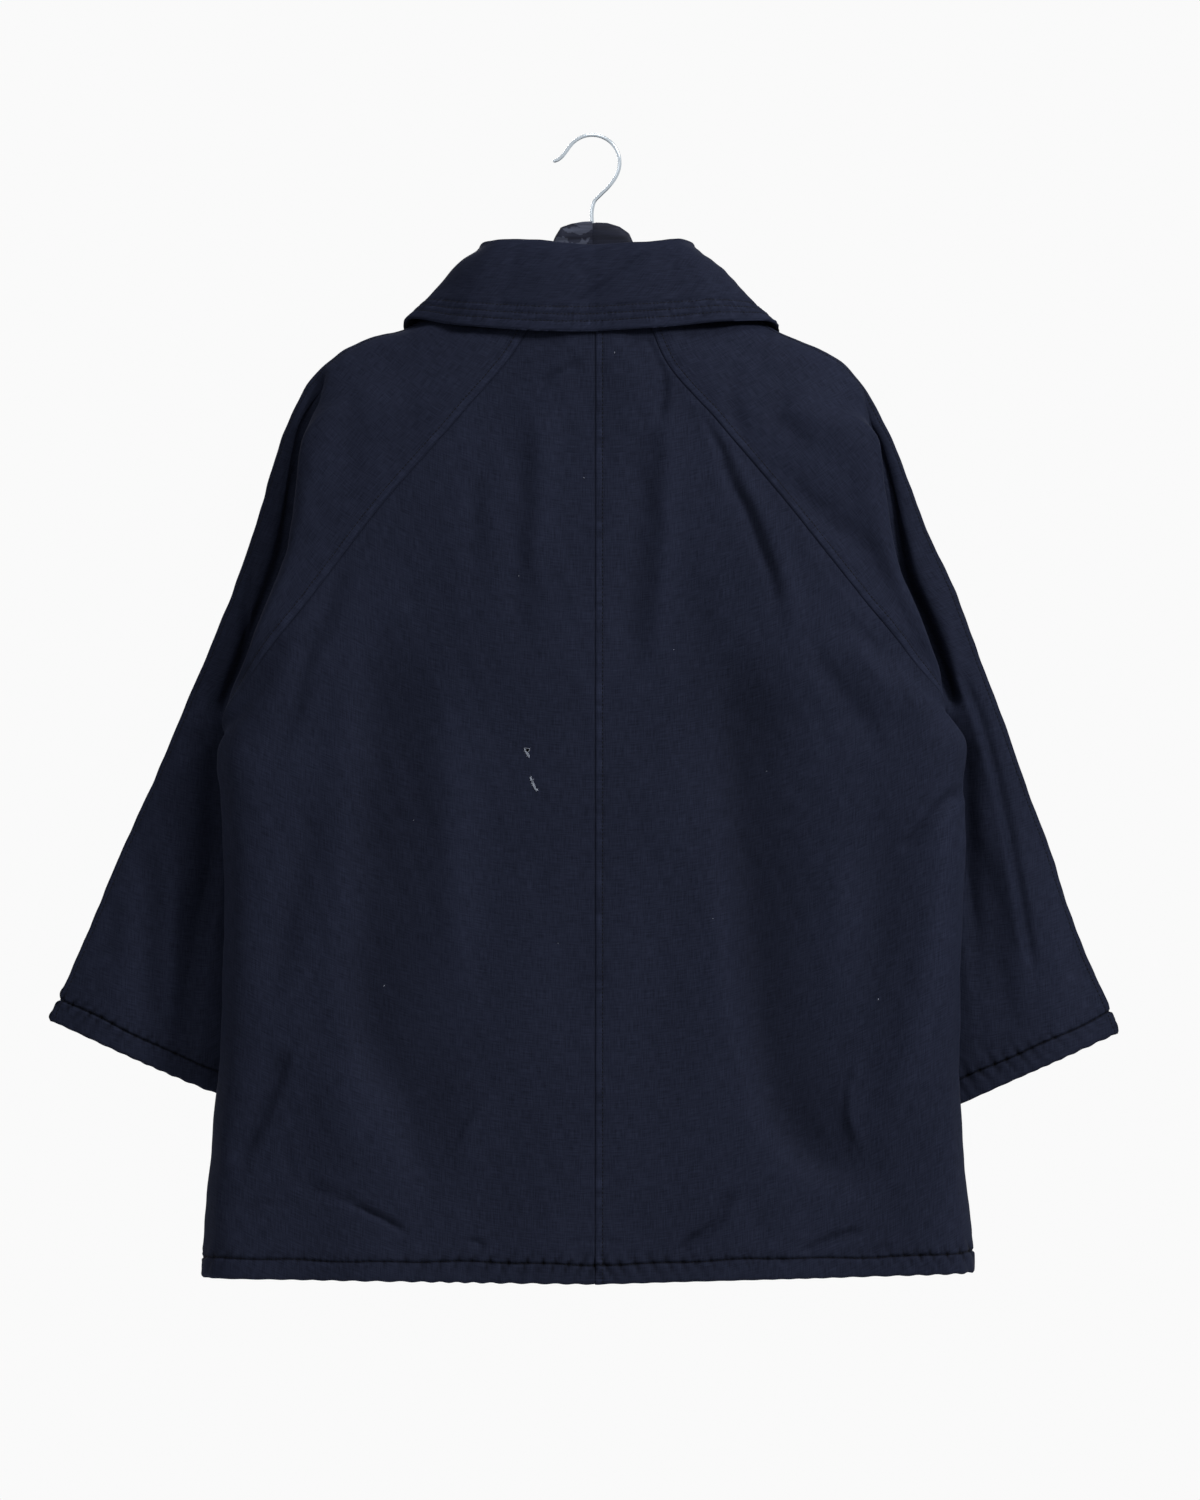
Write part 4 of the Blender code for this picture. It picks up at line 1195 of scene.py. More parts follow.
@dataclass(frozen=True)
class SeamStyle:
    """How an edge is sewn: a groove at the seam, and beside it a welt held down by topstitching."""

    groove: float = 0.9
    groove_width: float = 1.5
    welt: float = 0.0
    stitch_at: float = 6.5
    channel: float = 0.45
    channel_width: float = 1.3
    pucker: float = 0.0
    pucker_length: float = 6.0
    pucker_reach: float = 9.0
    # Painted shade along the seam groove and in the stitch channel, the welt made lighter, and painted light
    # and shade over its puckers.
    line_shade: float = 0.28
    welt_tone: float = 0.0
    pucker_shade_tone: float = 0.0

    def tone(self, away: np.ndarray, run: np.ndarray, seed: int) -> np.ndarray:
        """How much lighter or darker the cloth is: painted shade in the seam groove and stitch channel, a
        lighter welt, and painted light and shade on its puckers.

        Args:
            away: the distance from the edge.
            run: the distance along it.
            seed: which hatching.

        Returns:
            A share of the cloth's own colour.
        """
        # Painted shade in the seam groove.
        total = -self.line_shade * np.exp(-(away / 0.9) ** 2)
        if self.welt or self.pucker:
            inside = smooth_step((self.stitch_at + 0.5 - away) / 1.5) * smooth_step((away - 0.8) / 0.8)
            # Painted light and shade that follow the puckers' own ripple.
            pucker_shading = self.pucker_shade_tone * ripple(run, self.pucker_length, seed)
            total = total + inside * (self.welt_tone + pucker_shading)
            # Painted shade in the stitch channel.
            total = total - 0.5 * self.line_shade * np.exp(-((away - self.stitch_at) / 0.8) ** 2)
        return total

    def height(self, away: np.ndarray, run: np.ndarray, seed: int) -> np.ndarray:
        """The relief near an edge.

        Args:
            away: the distance from the edge.
            run: the distance along it.
            seed: which puckers.

        Returns:
            How far the cloth moves out.
        """
        total = -self.groove * np.exp(-(away / self.groove_width) ** 2)
        if self.welt or self.pucker:
            inside = smooth_step((self.stitch_at + 1.5 - away) / 3.0)
            total = total + self.welt * inside * smooth_step(away / 2.5)
            total = total - self.channel * np.exp(-((away - self.stitch_at) / self.channel_width) ** 2)
            reach = np.exp(-((away - self.stitch_at) / self.pucker_reach) ** 2)
            total = total + self.pucker * reach * ripple(run, self.pucker_length, seed)
        return total


@dataclass(frozen=True)
class HemStyle:
    """A turned-up hem: a puffed band below a line of stitching, both unevenly puckered."""

    band: float = 16.5
    puff: float = 0.7
    channel: float = 1.8
    channel_width: float = 1.1
    pucker: float = 1.15
    pucker_length: float = 13.0
    reach_above: float = 11.0
    wander: float = 1.2
    # Painted shade in the stitch channel and in the hollows of the puckers beside it.
    line_shade: float = 0.62
    hollow_shade: float = 0.75

    def line(self, run: np.ndarray, seed: int) -> np.ndarray:
        """How far the stitching lies above the edge, wandering along it.

        Args:
            run: the distance along the edge.
            seed: which draw.

        Returns:
            The distance above it.
        """
        draw = np.random.default_rng(seed)
        first, second = draw.random(2) * math.tau
        return self.band + self.wander * (0.6 * np.sin(run / 31 + first) + 0.4 * np.sin(run / 11 + second))

    def height(self, above: np.ndarray, run: np.ndarray, seed: int) -> np.ndarray:
        """The relief near a hem.

        Args:
            above: the distance from the edge.
            run: the distance along it.
            seed: which puckers.

        Returns:
            How far the cloth moves out.
        """
        line = self.line(run, seed)
        share = np.clip(above / line, 0, 1)
        below = above < line
        puff = np.where(below, self.puff * np.sin(math.pi * np.clip(share * 0.92 + 0.08, 0, 1)) ** 0.7, 0)
        channel = -self.channel * np.exp(-((above - line) / self.channel_width) ** 2)
        fade = np.where(below, 0.45 + 0.55 * share, np.exp(-((above - line) / self.reach_above) ** 2))
        wave = ripple(run + 0.5 * (above - line), self.pucker_length, seed + 1)
        shorter = ripple(run - 0.4 * (above - line), self.pucker_length * 0.43, seed + 2)
        return puff + channel + self.pucker * fade * (0.7 * wave + 0.5 * shorter)

    def tone(self, above: np.ndarray, run: np.ndarray, seed: int) -> np.ndarray:
        """How much darker the cloth is: painted shade in the stitching's channel, and in the hollows of the
        puckers beside it.

        Args:
            above: the distance from the edge.
            run: the distance along it.
            seed: which puckers.

        Returns:
            A share of the cloth's own colour.
        """
        over = above - self.line(run, seed)
        wave = ripple(run + 0.5 * over, self.pucker_length, seed + 1)
        shorter = ripple(run - 0.4 * over, self.pucker_length * 0.43, seed + 2)
        # Painted shade in the channel of the stitching.
        stitched = np.exp(-(over / 0.9) ** 2) * (0.85 + 0.15 * shorter)
        beside = np.exp(-((over - 1.5) / np.where(over > 1.5, 4.5, 9)) ** 2)
        # Painted shade in the pucker hollows, where the relief's ripples dip.
        pucker_hollows = np.clip(-0.8 * wave - 0.5 * shorter, 0, 1) * beside
        return -self.line_shade * stitched - self.hollow_shade * pucker_hollows

    def steps(self, above: np.ndarray, run: np.ndarray, seed: int) -> np.ndarray:
        """How far the hem's edge itself strays down the cloth, fading out above it."""
        return 0.55 * ripple(run, self.pucker_length * 1.3, seed + 3) * np.exp(-(above / 9.0) ** 2)


CLOTH_WALL = 3.0
EDGE_ROUNDING = 2.6
UNDULATIONS = (Undulation(11, 0.55, 60, 190), Undulation(12, 0.16, 18, 50))
SINGLE_CREASE_EASE = 14.0
GULLEY_COLUMN = 40
GULLEY_EASE = 8
INSIDE_COLUMNS = 3
SEAM_SEEDS = (7, 8)
FOLD_STRENGTH = 1.15
# Painted shade and highlight by fold depth: the cloth is darker in the folds' hollows and lighter on their
# ridges.
FOLD_LIGHT_AND_SHADE = 0.017
LAP = 20.0
UNDERLAP = 4.6
RAGLAN_STITCH_ROWS = CORNER_ROW - 12

HIDDEN = SeamStyle()
BACK_SEAM = SeamStyle(groove=0.45, groove_width=0.9)
BACK_SEAM_WELT = SeamStyle(groove=0.45, groove_width=0.8, welt=0.25, stitch_at=6.2, channel=0.25,
                           channel_width=1.0, pucker=0.24, pucker_length=2.9, pucker_reach=3.4,
                           line_shade=0.4, welt_tone=0.14, pucker_shade_tone=0.34)
RAGLAN_BODY = SeamStyle(groove=0.4, groove_width=0.9, line_shade=0.16)
RAGLAN_SLEEVE = SeamStyle(groove=0.45, groove_width=0.8, welt=0.25, stitch_at=6.5, channel=0.25,
                          channel_width=1.0, pucker=0.18, pucker_length=5.0, pucker_reach=4.5,
                          line_shade=0.16, welt_tone=0.16, pucker_shade_tone=0.16)
OVERARM_WELT = SeamStyle(groove=0.3, groove_width=1.0, welt=0.3, stitch_at=4.5, channel=0.35, pucker=0.15,
                         pucker_length=5.0, pucker_reach=4.0)
FRONT_EDGE = SeamStyle(groove=0.0, welt=0.5, stitch_at=7.0, channel=0.45, pucker=0.25, pucker_length=7.0)
BODY_HEM = HemStyle()
CUFF_HEM = HemStyle(band=19.0, pucker_length=11.0)


@dataclass
class Panel:
    """One cloth panel: its grid through the guide lines, its relief and its wall."""

    cut: Cut
    side: Side
    grid: np.ndarray = field(init=False)
    normals: np.ndarray = field(init=False)
    outer: np.ndarray = field(init=False)

    def __post_init__(self) -> None:
        """Lays the panel through its guide lines."""
        shape = {
            Cut.BACK: self.back_grid, Cut.FRONT: self.front_grid,
            Cut.SLEEVE_BACK: self.sleeve_back_grid, Cut.SLEEVE_FRONT: self.sleeve_front_grid,
        }[self.cut]
        facing = -1 if self.cut in (Cut.BACK, Cut.SLEEVE_BACK) else 1
        self.grid = shape()
        self.normals = normals_of(self.grid, facing)

    @property
    def name(self) -> str:
        """The solid's node that the panel dresses."""
        if self.cut in (Cut.BACK, Cut.FRONT):
            return f"{self.cut.value}_{self.side.name.lower()}"
        return f"sleeve_{self.side.name.lower()}_{self.cut.value.split('_')[1]}"

    def back_grid(self) -> np.ndarray:
        """The back's half: centre seam, two guides, the rounded corner, the side fold and the seam behind it.

        Returns:
            The grid of points.
        """
        centre, edge = guide(CENTRE_BACK, self.side, WHOLE), guide(BACK_EDGE, self.side, WHOLE)
        rounding = smooth_step((WHOLE - 0.47) / 0.2)
        corner = midway(centre, edge, 0.978, -19.0 * rounding)
        blade = midway(centre, corner, 0.74, 0.1 * (centre[:, 1] - corner[:, 1]) - 6.5 * rounding)
        middle = midway(centre, blade, 0.5, -1.5)
        seam_line = seam(RAGLAN_BACK, SIDE_SEAM, self.side)
        behind = midway(edge, seam_line, 0.5, -6.0 * smooth_step((WHOLE - 0.55) / 0.08))
        steps = (fine_start(10, 0.12, 40), even(46), even(34), even(8), even(9), even(9))
        return across([centre, middle, blade, corner, edge, behind, seam_line], steps)

    def front_grid(self) -> np.ndarray:
        """The front's half: its free edge past the centre line, the centre, a guide, the corner, the side.

        Returns:
            The grid of points.
        """
        centre, corner = guide(CENTRE_FRONT, self.side, WHOLE), guide(FRONT_CORNER, self.side, WHOLE)
        free = centre.copy()
        free[:, 0] -= self.side.value * LAP
        if self.side is Side.LEFT:
            centre[:, 1] -= UNDERLAP
            free[:, 1] -= UNDERLAP + 3.5 * ramp(WHOLE, 0.2, 0.0)
        middle = midway(centre, corner, 0.5, 2.5)
        middle[:, 2] -= 9.0 * ramp(WHOLE, 0.25, 0.0)
        steps = (even(8), even(16), even(16), even(12))
        return across([free, centre, middle, corner, seam(RAGLAN_FRONT, SIDE_SEAM, self.side)], steps)

    def sleeve_back_grid(self) -> np.ndarray:
        """The sleeve's back half: raglan or underarm seam, ridge, gulley, outer strip and overarm seam.

        Returns:
            The grid of points.
        """
        inner, overarm = seam(RAGLAN_BACK, UNDERARM, self.side), guide(OVERARM, self.side, WHOLE)
        ridge, gulley = guide(SLEEVE_RIDGE, self.side, WHOLE), guide(SLEEVE_GULLEY, self.side, WHOLE)
        pinch = ramp(np.abs(WHOLE - 0.56), 0, 0.1)
        blade = midway(inner, ridge, 0.5 - 0.12 * ramp(WHOLE, 0.58, UNDERARM_AT), -2.5 * pinch)
        crisp = smooth_step((WHOLE - 0.17) / 0.08) * smooth_step((0.58 - WHOLE) / 0.04)
        rim, turned = midway(blade, ridge, 0.82, -4.0 * crisp), midway(ridge, gulley, 0.22, 0.0)
        outer = midway(gulley, overarm, 0.55, -1.0 - 7.0 * ramp(WHOLE, 0.1, 0.45))
        steps = (fine_start(7, 0.5, 3), even(7), even(5), even(4), even(14), even(22), fine_end(14, 8, 0.3))
        return across([inner, blade, rim, ridge, turned, gulley, outer, overarm], steps)

    def sleeve_front_grid(self) -> np.ndarray:
        """The sleeve's front half, swelling forward between the overarm seam and the seam inside the arm.

        Returns:
            The grid of points.
        """
        overarm, inner = guide(OVERARM, self.side, WHOLE), seam(RAGLAN_FRONT, UNDERARM, self.side)
        swell = np.interp(WHOLE, (0, 0.07, 0.15, 0.25, 0.35, 0.62, 0.8, 1), (5, 12, 19, 21, 20, 24, 26, 22))
        between = [midway(overarm, inner, share, swell * math.sin(math.pi * share) ** 0.5)
                   for share in (0.1, 0.36, 0.64, 0.9)]
        return across([overarm, *between, inner], (even(6), even(8), even(8), even(8), even(6)))

    def edge_run(self, column: int) -> tuple[np.ndarray, np.ndarray]:
        """Distances square to a long edge of the panel and along it.

        Args:
            column: 0 for the first edge and -1 for the last.

        Returns:
            How far each point lies from the edge, and how far along the edge its row is.
        """
        over = lengths_along(self.grid, 1)
        away = over if column == 0 else over[:, -1:] - over
        line = self.grid[:, column]
        along = np.gradient(line, axis=0)
        inside = self.grid[:, INSIDE_COLUMNS if column == 0 else -1 - INSIDE_COLUMNS] - line
        square = np.linalg.norm(np.cross(along, inside), axis=1)
        square /= np.linalg.norm(along, axis=1) * np.linalg.norm(inside, axis=1)
        run = run_of(line)
        return away * square[:, None], np.broadcast_to(run[:, None], away.shape)

    def seam_styles(self) -> tuple[SeamStyle, SeamStyle]:
        """How the panel's long edges are sewn.

        Returns:
            The style of the first edge and that of the last.
        """
        if self.cut is Cut.BACK:
            return (BACK_SEAM if self.side is Side.LEFT else BACK_SEAM_WELT), RAGLAN_BODY
        if self.cut is Cut.SLEEVE_BACK:
            return RAGLAN_SLEEVE, OVERARM_WELT
        if self.cut is Cut.SLEEVE_FRONT:
            return HIDDEN, RAGLAN_SLEEVE
        return FRONT_EDGE, RAGLAN_BODY

    @property
    def hem(self) -> HemStyle:
        """How the panel's lower edge is sewn."""
        return BODY_HEM if self.cut in (Cut.BACK, Cut.FRONT) else CUFF_HEM

    @property
    def seed(self) -> int:
        """A seed of its own."""
        return 40 + 10 * list(Cut).index(self.cut) + (5 if self.side is Side.RIGHT else 0)

    def above_hem(self) -> tuple[np.ndarray, np.ndarray]:
        """Distances from the hem or cuff and round it.

        Returns:
            How far each point lies above it, and how far round it from the panel's first edge.
        """
        down = lengths_along(self.grid, 0)
        return down[-1:] - down, np.broadcast_to(lengths_along(self.grid, 1)[-1:], down.shape)

    def relief(self) -> tuple[np.ndarray, np.ndarray]:
        """The cloth's movement along its normals.

        Returns:
            The broad part, which the inner face shares, and the fine part of the outer face alone.
        """
        x, drop = self.grid[..., 0], -self.grid[..., 2]
        first_away, first_run = self.edge_run(0)
        last_away, last_run = self.edge_run(-1)
        ease = smooth_step(np.minimum(first_away, last_away) / SINGLE_CREASE_EASE)
        if self.cut is Cut.BACK:
            ease = smooth_step(last_away / SINGLE_CREASE_EASE)
        if self.cut is Cut.SLEEVE_BACK:
            past_gulley = np.arange(x.shape[1]) - GULLEY_COLUMN
            ease = ease * smooth_step((past_gulley + GULLEY_EASE - 1) / GULLEY_EASE)
        broad = FOLD_STRENGTH * sum(crease.height(x, drop) for crease in CREASES[self.cut]) * ease
        broad = broad + sum(crease.height(x, drop) for crease in SHARED_CREASES.get(self.cut, ()))
        broad = broad + UNDULATIONS[0].at(x, drop)
        styles = self.seam_styles()
        above, round_hem = self.above_hem()
        fine = (UNDULATIONS[1].at(x, drop)
                + styles[0].height(first_away, first_run, SEAM_SEEDS[0])
                + styles[1].height(last_away, last_run, SEAM_SEEDS[1])
                + self.hem.height(above, round_hem, self.seed))
        return broad, fine

    def tone(self) -> np.ndarray:
        """How much lighter or darker the outer face is: the painted shade and light of its seams, its hem and
        their puckers.

        Returns:
            A share of the cloth's own colour for each point.
        """
        first, last = self.seam_styles()
        return (first.tone(*self.edge_run(0), SEAM_SEEDS[0]) + last.tone(*self.edge_run(-1), SEAM_SEEDS[1])
                + self.hem.tone(*self.above_hem(), self.seed))

    def build(self, finish: bpy.types.Material) -> bpy.types.Object:
        """Makes the panel's wall.

        Args:
            finish: its cloth.

        Returns:
            The object.
        """
        broad, fine = self.relief()
        above, round_hem = self.above_hem()
        down = np.gradient(self.grid, axis=0)
        down /= np.linalg.norm(down, axis=2, keepdims=True)
        stray = down * self.hem.steps(above, round_hem, self.seed)[..., None]
        tucked = np.minimum(EDGE_ROUNDING * rounded(above / EDGE_ROUNDING), CLOTH_WALL * 0.5)
        self.outer = self.grid + stray + self.normals * (broad + fine - tucked)[..., None]
        inner = self.grid + stray + self.normals * (broad - CLOTH_WALL + tucked)[..., None]
        # Painted shade and highlight: darker in the hollows of the folds and lighter on their ridges, by their
        # depth.
        tone = self.tone() + FOLD_LIGHT_AND_SHADE * broad
        return cloth_wall("cloth_" + self.name, self.grid, self.outer, inner, tone, finish)

    def line_beside(self, column: int, distance: float) -> Path:
        """A line on the outer face beside a long edge.

        Args:
            column: 0 for the first edge and -1 for the last.
            distance: how far from it the line runs.

        Returns:
            The line, from the top down.
        """
        away, _ = self.edge_run(column)
        order = slice(None) if column == 0 else slice(None, None, -1)
        return line_at(away[:, order], distance, self.outer[:, order], self.normals[:, order])

    def line_above_hem(self) -> Path:
        """The hem's line of stitching on the outer face.

        Returns:
            The line, from the panel's first edge to its last.
        """
        above, round_hem = self.above_hem()
        line = self.hem.line(round_hem[-1], self.seed)
        outer, normals = self.outer[::-1].swapaxes(0, 1), self.normals[::-1].swapaxes(0, 1)
        return line_at(above[::-1].T, line, outer, normals)

    def spot(self, x: float, drop: float) -> tuple[np.ndarray, np.ndarray]:
        """The place on the outer face that lies behind a place in the photo's plane.

        Args:
            x: the place's X.
            drop: its drop.

        Returns:
            The nearest point of the outer face and its normal.
        """
        distance = (self.outer[..., 0] - x) ** 2 + (self.outer[..., 2] + drop) ** 2
        row, column = np.unravel_index(np.argmin(distance), distance.shape)
        return self.outer[row, column].copy(), self.normals[row, column].copy()


@dataclass
class CoatBody:
    """The coat's eight panels and the sewing on them."""

    panels: dict[tuple[Cut, Side], Panel] = field(default_factory=dict)

    def share_normals(self) -> None:
        """Gives both panels at each seam the same normal there, so that their walls meet."""
        joins = [((Cut.BACK, Side.LEFT), 0, slice(None), (Cut.BACK, Side.RIGHT), 0)]
        above, below = slice(0, CORNER_ROW + 1), slice(CORNER_ROW, None)
        for side in Side:
            joins += [
                ((Cut.BACK, side), -1, above, (Cut.SLEEVE_BACK, side), 0),
                ((Cut.BACK, side), -1, below, (Cut.FRONT, side), -1),
                ((Cut.FRONT, side), -1, above, (Cut.SLEEVE_FRONT, side), -1),
                ((Cut.SLEEVE_BACK, side), 0, below, (Cut.SLEEVE_FRONT, side), -1),
                ((Cut.SLEEVE_BACK, side), -1, slice(None), (Cut.SLEEVE_FRONT, side), 0),
            ]
        for one, column, rows, other, other_column in joins:
            mean = self.panels[one].normals[rows, column] + self.panels[other].normals[rows, other_column]
            mean /= np.maximum(np.linalg.norm(mean, axis=1, keepdims=True), 1e-6)
            self.panels[one].normals[rows, column] = mean
            self.panels[other].normals[rows, other_column] = mean

    def build(self) -> dict[tuple[Cut, Side], bpy.types.Object]:
        """Makes the panels' walls, riding on the body and standing for their solids.

        Returns:
            Each panel's object.
        """
        cloth = NAVY.build()
        self.panels = {(cut, side): Panel(cut, side) for cut in Cut for side in Side}
        self.share_normals()
        made = {}
        for key, panel in self.panels.items():
            piece = panel.build(cloth)
            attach(piece, "root")
            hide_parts(panel.name)
            made[key] = piece
            log.info("%s: %d faces", piece.name, len(piece.data.polygons))
        return made

    def sew(self) -> dict[str, bpy.types.Object]:
        """Sews the topstitching of the body, the sleeves and the hems.

        Returns:
            Each row's object, by its name.
        """
        thread, stitching = NAVY_THREAD.build(), Stitching()
        back_right = self.panels[Cut.BACK, Side.RIGHT]
        rows = {
            "stitches_centre_back": [back_right.line_beside(0, BACK_SEAM_WELT.stitch_at).trimmed(30, 2)],
            "stitches_raglan": [], "stitches_overarm": [], "stitches_hem": [], "stitches_cuffs": [],
            "stitches_front_edge": [],
        }
        for side in Side:
            sleeve, front = self.panels[Cut.SLEEVE_BACK, side], self.panels[Cut.FRONT, side]
            beside = sleeve.line_beside(0, RAGLAN_SLEEVE.stitch_at)
            rows["stitches_raglan"].append(
                Path(beside.points[:RAGLAN_STITCH_ROWS], beside.normals[:RAGLAN_STITCH_ROWS]))
            rows["stitches_overarm"].append(sleeve.line_beside(-1, OVERARM_WELT.stitch_at).trimmed(20, 2))
            rows["stitches_hem"] += [self.panels[Cut.BACK, side].line_above_hem(), front.line_above_hem()]
            inner = self.panels[Cut.SLEEVE_FRONT, side]
            rows["stitches_cuffs"] += [sleeve.line_above_hem(), inner.line_above_hem()]
            rows["stitches_front_edge"].append(front.line_beside(0, FRONT_EDGE.stitch_at).trimmed(6, 3))
        made = {}
        for name, paths in rows.items():
            made[name] = stitching.sew(name, paths, thread)
            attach(made[name], "root")
            log.info("%s: %d faces", name, len(made[name].data.polygons))
        return made


# --- collar ---

@dataclass
class Collar:
    """The folded collar: the wide fall outside with three rows of topstitching, the stand inside."""

    panels: dict[tuple[Cut, Side], Panel]
    half_cells: int = 250
    wall: float = 2.4
    rows: tuple[float, ...] = (9.0, 15.0, 21.0)
    row_channel: float = 0.5
    pucker: float = 0.3
    # Painted shade in the rows' channels, and painted light and shade, drawn at random, for the puckers beside
    # them.
    row_shade: float = 0.34
    pucker_shade_tone: float = 0.17
    edge_tuck: float = 1.1
    outer: np.ndarray = field(init=False)
    normals: np.ndarray = field(init=False)

    def neck_half(self, side: Side) -> np.ndarray:
        """The neck seam of one side.

        Args:
            side: which side.

        Returns:
            A line from the centre back to the collar's end near the centre front.
        """
        parts = [
            self.panels[Cut.BACK, side].grid[0],
            self.panels[Cut.SLEEVE_BACK, side].grid[0],
            self.panels[Cut.SLEEVE_FRONT, side].grid[0],
            self.panels[Cut.FRONT, side].grid[0][::-1],
        ]
        line = np.concatenate([part[:-1] for part in parts[:-1]] + [parts[-1]])
        kept = line[:, 0] * side.value > 4.0
        kept[0] = True
        return line[kept]

    def half(self, side: Side) -> tuple[np.ndarray, np.ndarray, np.ndarray]:
        """One side's lines, from the centre back to the front.

        Args:
            side: which side.

        Returns:
            Its neck line, its crest and its lower edge.
        """
        shares = np.linspace(0, 1, self.half_cells + 1)
        neck = self.neck_half(side)
        run = run_of(neck)
        base = read_at(shares * run[-1], run, neck)
        base[:, 2] += 0.5
        return base, guide(COLLAR_CREST, side, shares), guide(COLLAR_EDGE, side, shares)

    def lay(self) -> np.ndarray:
        """Lays the collar's visible face.

        Returns:
            The grid, its columns from the lower edge over the crest and down the stand.
        """
        halves = zip(self.half(Side.LEFT), self.half(Side.RIGHT))
        base, crest, edge = (np.concatenate([left[:0:-1], right]) for left, right in halves)
        up = np.array([0, 0, 1.0])
        outwards = np.cross(np.gradient(base, axis=0), up)
        outwards /= np.linalg.norm(outwards, axis=1, keepdims=True)
        outwards *= -np.sign(outwards[self.half_cells, 1])
        stand_face = base - outwards * self.wall
        fall = ((0, 0, 0), (0.38, 1.5, 0.5), (0.75, 4.0, 1.0), (1, 4.0, -3.5), (1, 0, 0), (1, -6.5, -4.0))
        sideways = 0.25 + 0.75 * np.abs(outwards[:, 1:2])
        lines = [edge + (crest - edge) * share + outwards * out * (sideways if out > 0 else 1) + up * rise
                 for share, out, rise in fall]
        lines += [(stand_face + crest) / 2 - outwards * 2.0, stand_face]
        steps = (even(26), even(14), even(8), even(5), even(5), even(6), even(6))
        grid = across(lines, steps)
        grid[..., 1] += self.tuck(grid)
        self.normals = normals_of(grid, -1, slice(self.half_cells, self.half_cells + 1), slice(0, 1))
        self.normals[:, -1] = -outwards
        return grid

    def tuck(self, grid: np.ndarray) -> np.ndarray:
        """How far the fall leans in towards the back, most at its lower edge and at its ends.

        Args:
            grid: the collar's points.

        Returns:
            The way that each point moves along Y.
        """
        behind = smooth_step((5 - grid[..., 1]) / 45)
        reach = np.clip(1 - lengths_along(grid, 1) / 65, 0, 1) ** 1.3
        return (5.5 + 4.5 * smooth_step((np.abs(grid[..., 0]) - 50) / 60)) * behind * reach

    def relief(self, grid: np.ndarray) -> np.ndarray:
        """Soft unevenness, the creases, the sewn rows' channels and the puckers between them.

        Args:
            grid: the collar's points.

        Returns:
            How far the outer face moves along its normals.
        """
        away, run = lengths_along(grid, 1), lengths_along(grid, 0)
        x, drop = grid[..., 0], -grid[..., 2]
        behind = smooth_step((10 - grid[..., 1]) / 20)
        total = sum(crease.height(x, drop) for crease in COLLAR_CREASES) * behind
        for uneven in (Undulation(21, 0.45, 40, 120), Undulation(22, 0.12, 12, 30)):
            total = total + uneven.at(run, away)
        for number, row in enumerate(self.rows):
            total = total - self.row_channel * np.exp(-((away - row) / 1.2) ** 2)
            reach = np.exp(-((away - row) / 3.2) ** 2)
            total = total + self.pucker * reach * ripple(run, 3.9, 60 + number)
        total = total + 0.3 * smooth_step((self.rows[-1] + 1 - away) / 3) * smooth_step(away / 3)
        edge_wave = 0.35 * ripple(run, 9.0, 66) * np.exp(-(away / 5) ** 2)
        return total + edge_wave

    def tone(self, grid: np.ndarray) -> np.ndarray:
        """How much lighter or darker each point is: painted shade in the rows' channels, random painted light
        and shade for the puckers beside them, and a slightly lighter band up to the highest row.

        Args:
            grid: the collar's points.

        Returns:
            A share of the cloth's own colour.
        """
        away, run = lengths_along(grid, 1), lengths_along(grid, 0)
        draw = np.random.default_rng(71)
        total = np.zeros(away.shape)
        for number, row in enumerate(self.rows):
            strength = 0.8 + 0.2 * ripple(run, 3.0, 80 + number)
            # Painted shade in the row's channel.
            total -= self.row_shade * strength * np.exp(-((away - row) / 0.75) ** 2)
            # Painted light and shade, drawn at random, for the puckers beside the row.
            pucker_shade_draw = draw.normal(0, 1, (len(away), 1))
            total += self.pucker_shade_tone * pucker_shade_draw * np.exp(-((away - row + 1.5) / 3.0) ** 2)
        return total + 0.05 * smooth_step((self.rows[-1] + 1 - away) / 2)

    def build(self) -> bpy.types.Object:
        """Makes the collar, standing for its solid, with its stitches and its flat cut.

        Returns:
            The collar's object.
        """
        grid = self.lay()
        away = lengths_along(grid, 1)
        tucked = self.edge_tuck * rounded(away / (2 * self.edge_tuck))
        self.outer = grid + self.normals * (self.relief(grid) - tucked)[..., None]
        inner = grid - self.normals * (self.wall - tucked)[..., None]
        piece = cloth_wall("cloth_collar", grid, self.outer, inner, self.tone(grid), NAVY.build())
        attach(piece, "root")
        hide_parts("collar")
        rows = Stitching(pitch=3.0, length=2.3)
        stitches = rows.sew("stitches_collar", self.stitch_paths(), NAVY_THREAD.build())
        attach(stitches, "root")
        log.info("%s: %d faces", piece.name, len(piece.data.polygons))
        return piece

    def stitch_paths(self) -> list[Path]:
        """The three rows of topstitching along the fall's lower edge."""
        away = lengths_along(self.outer, 1)
        return [line_at(away, row, self.outer, self.normals).trimmed(row, row) for row in self.rows]


# --- damage and lint ---

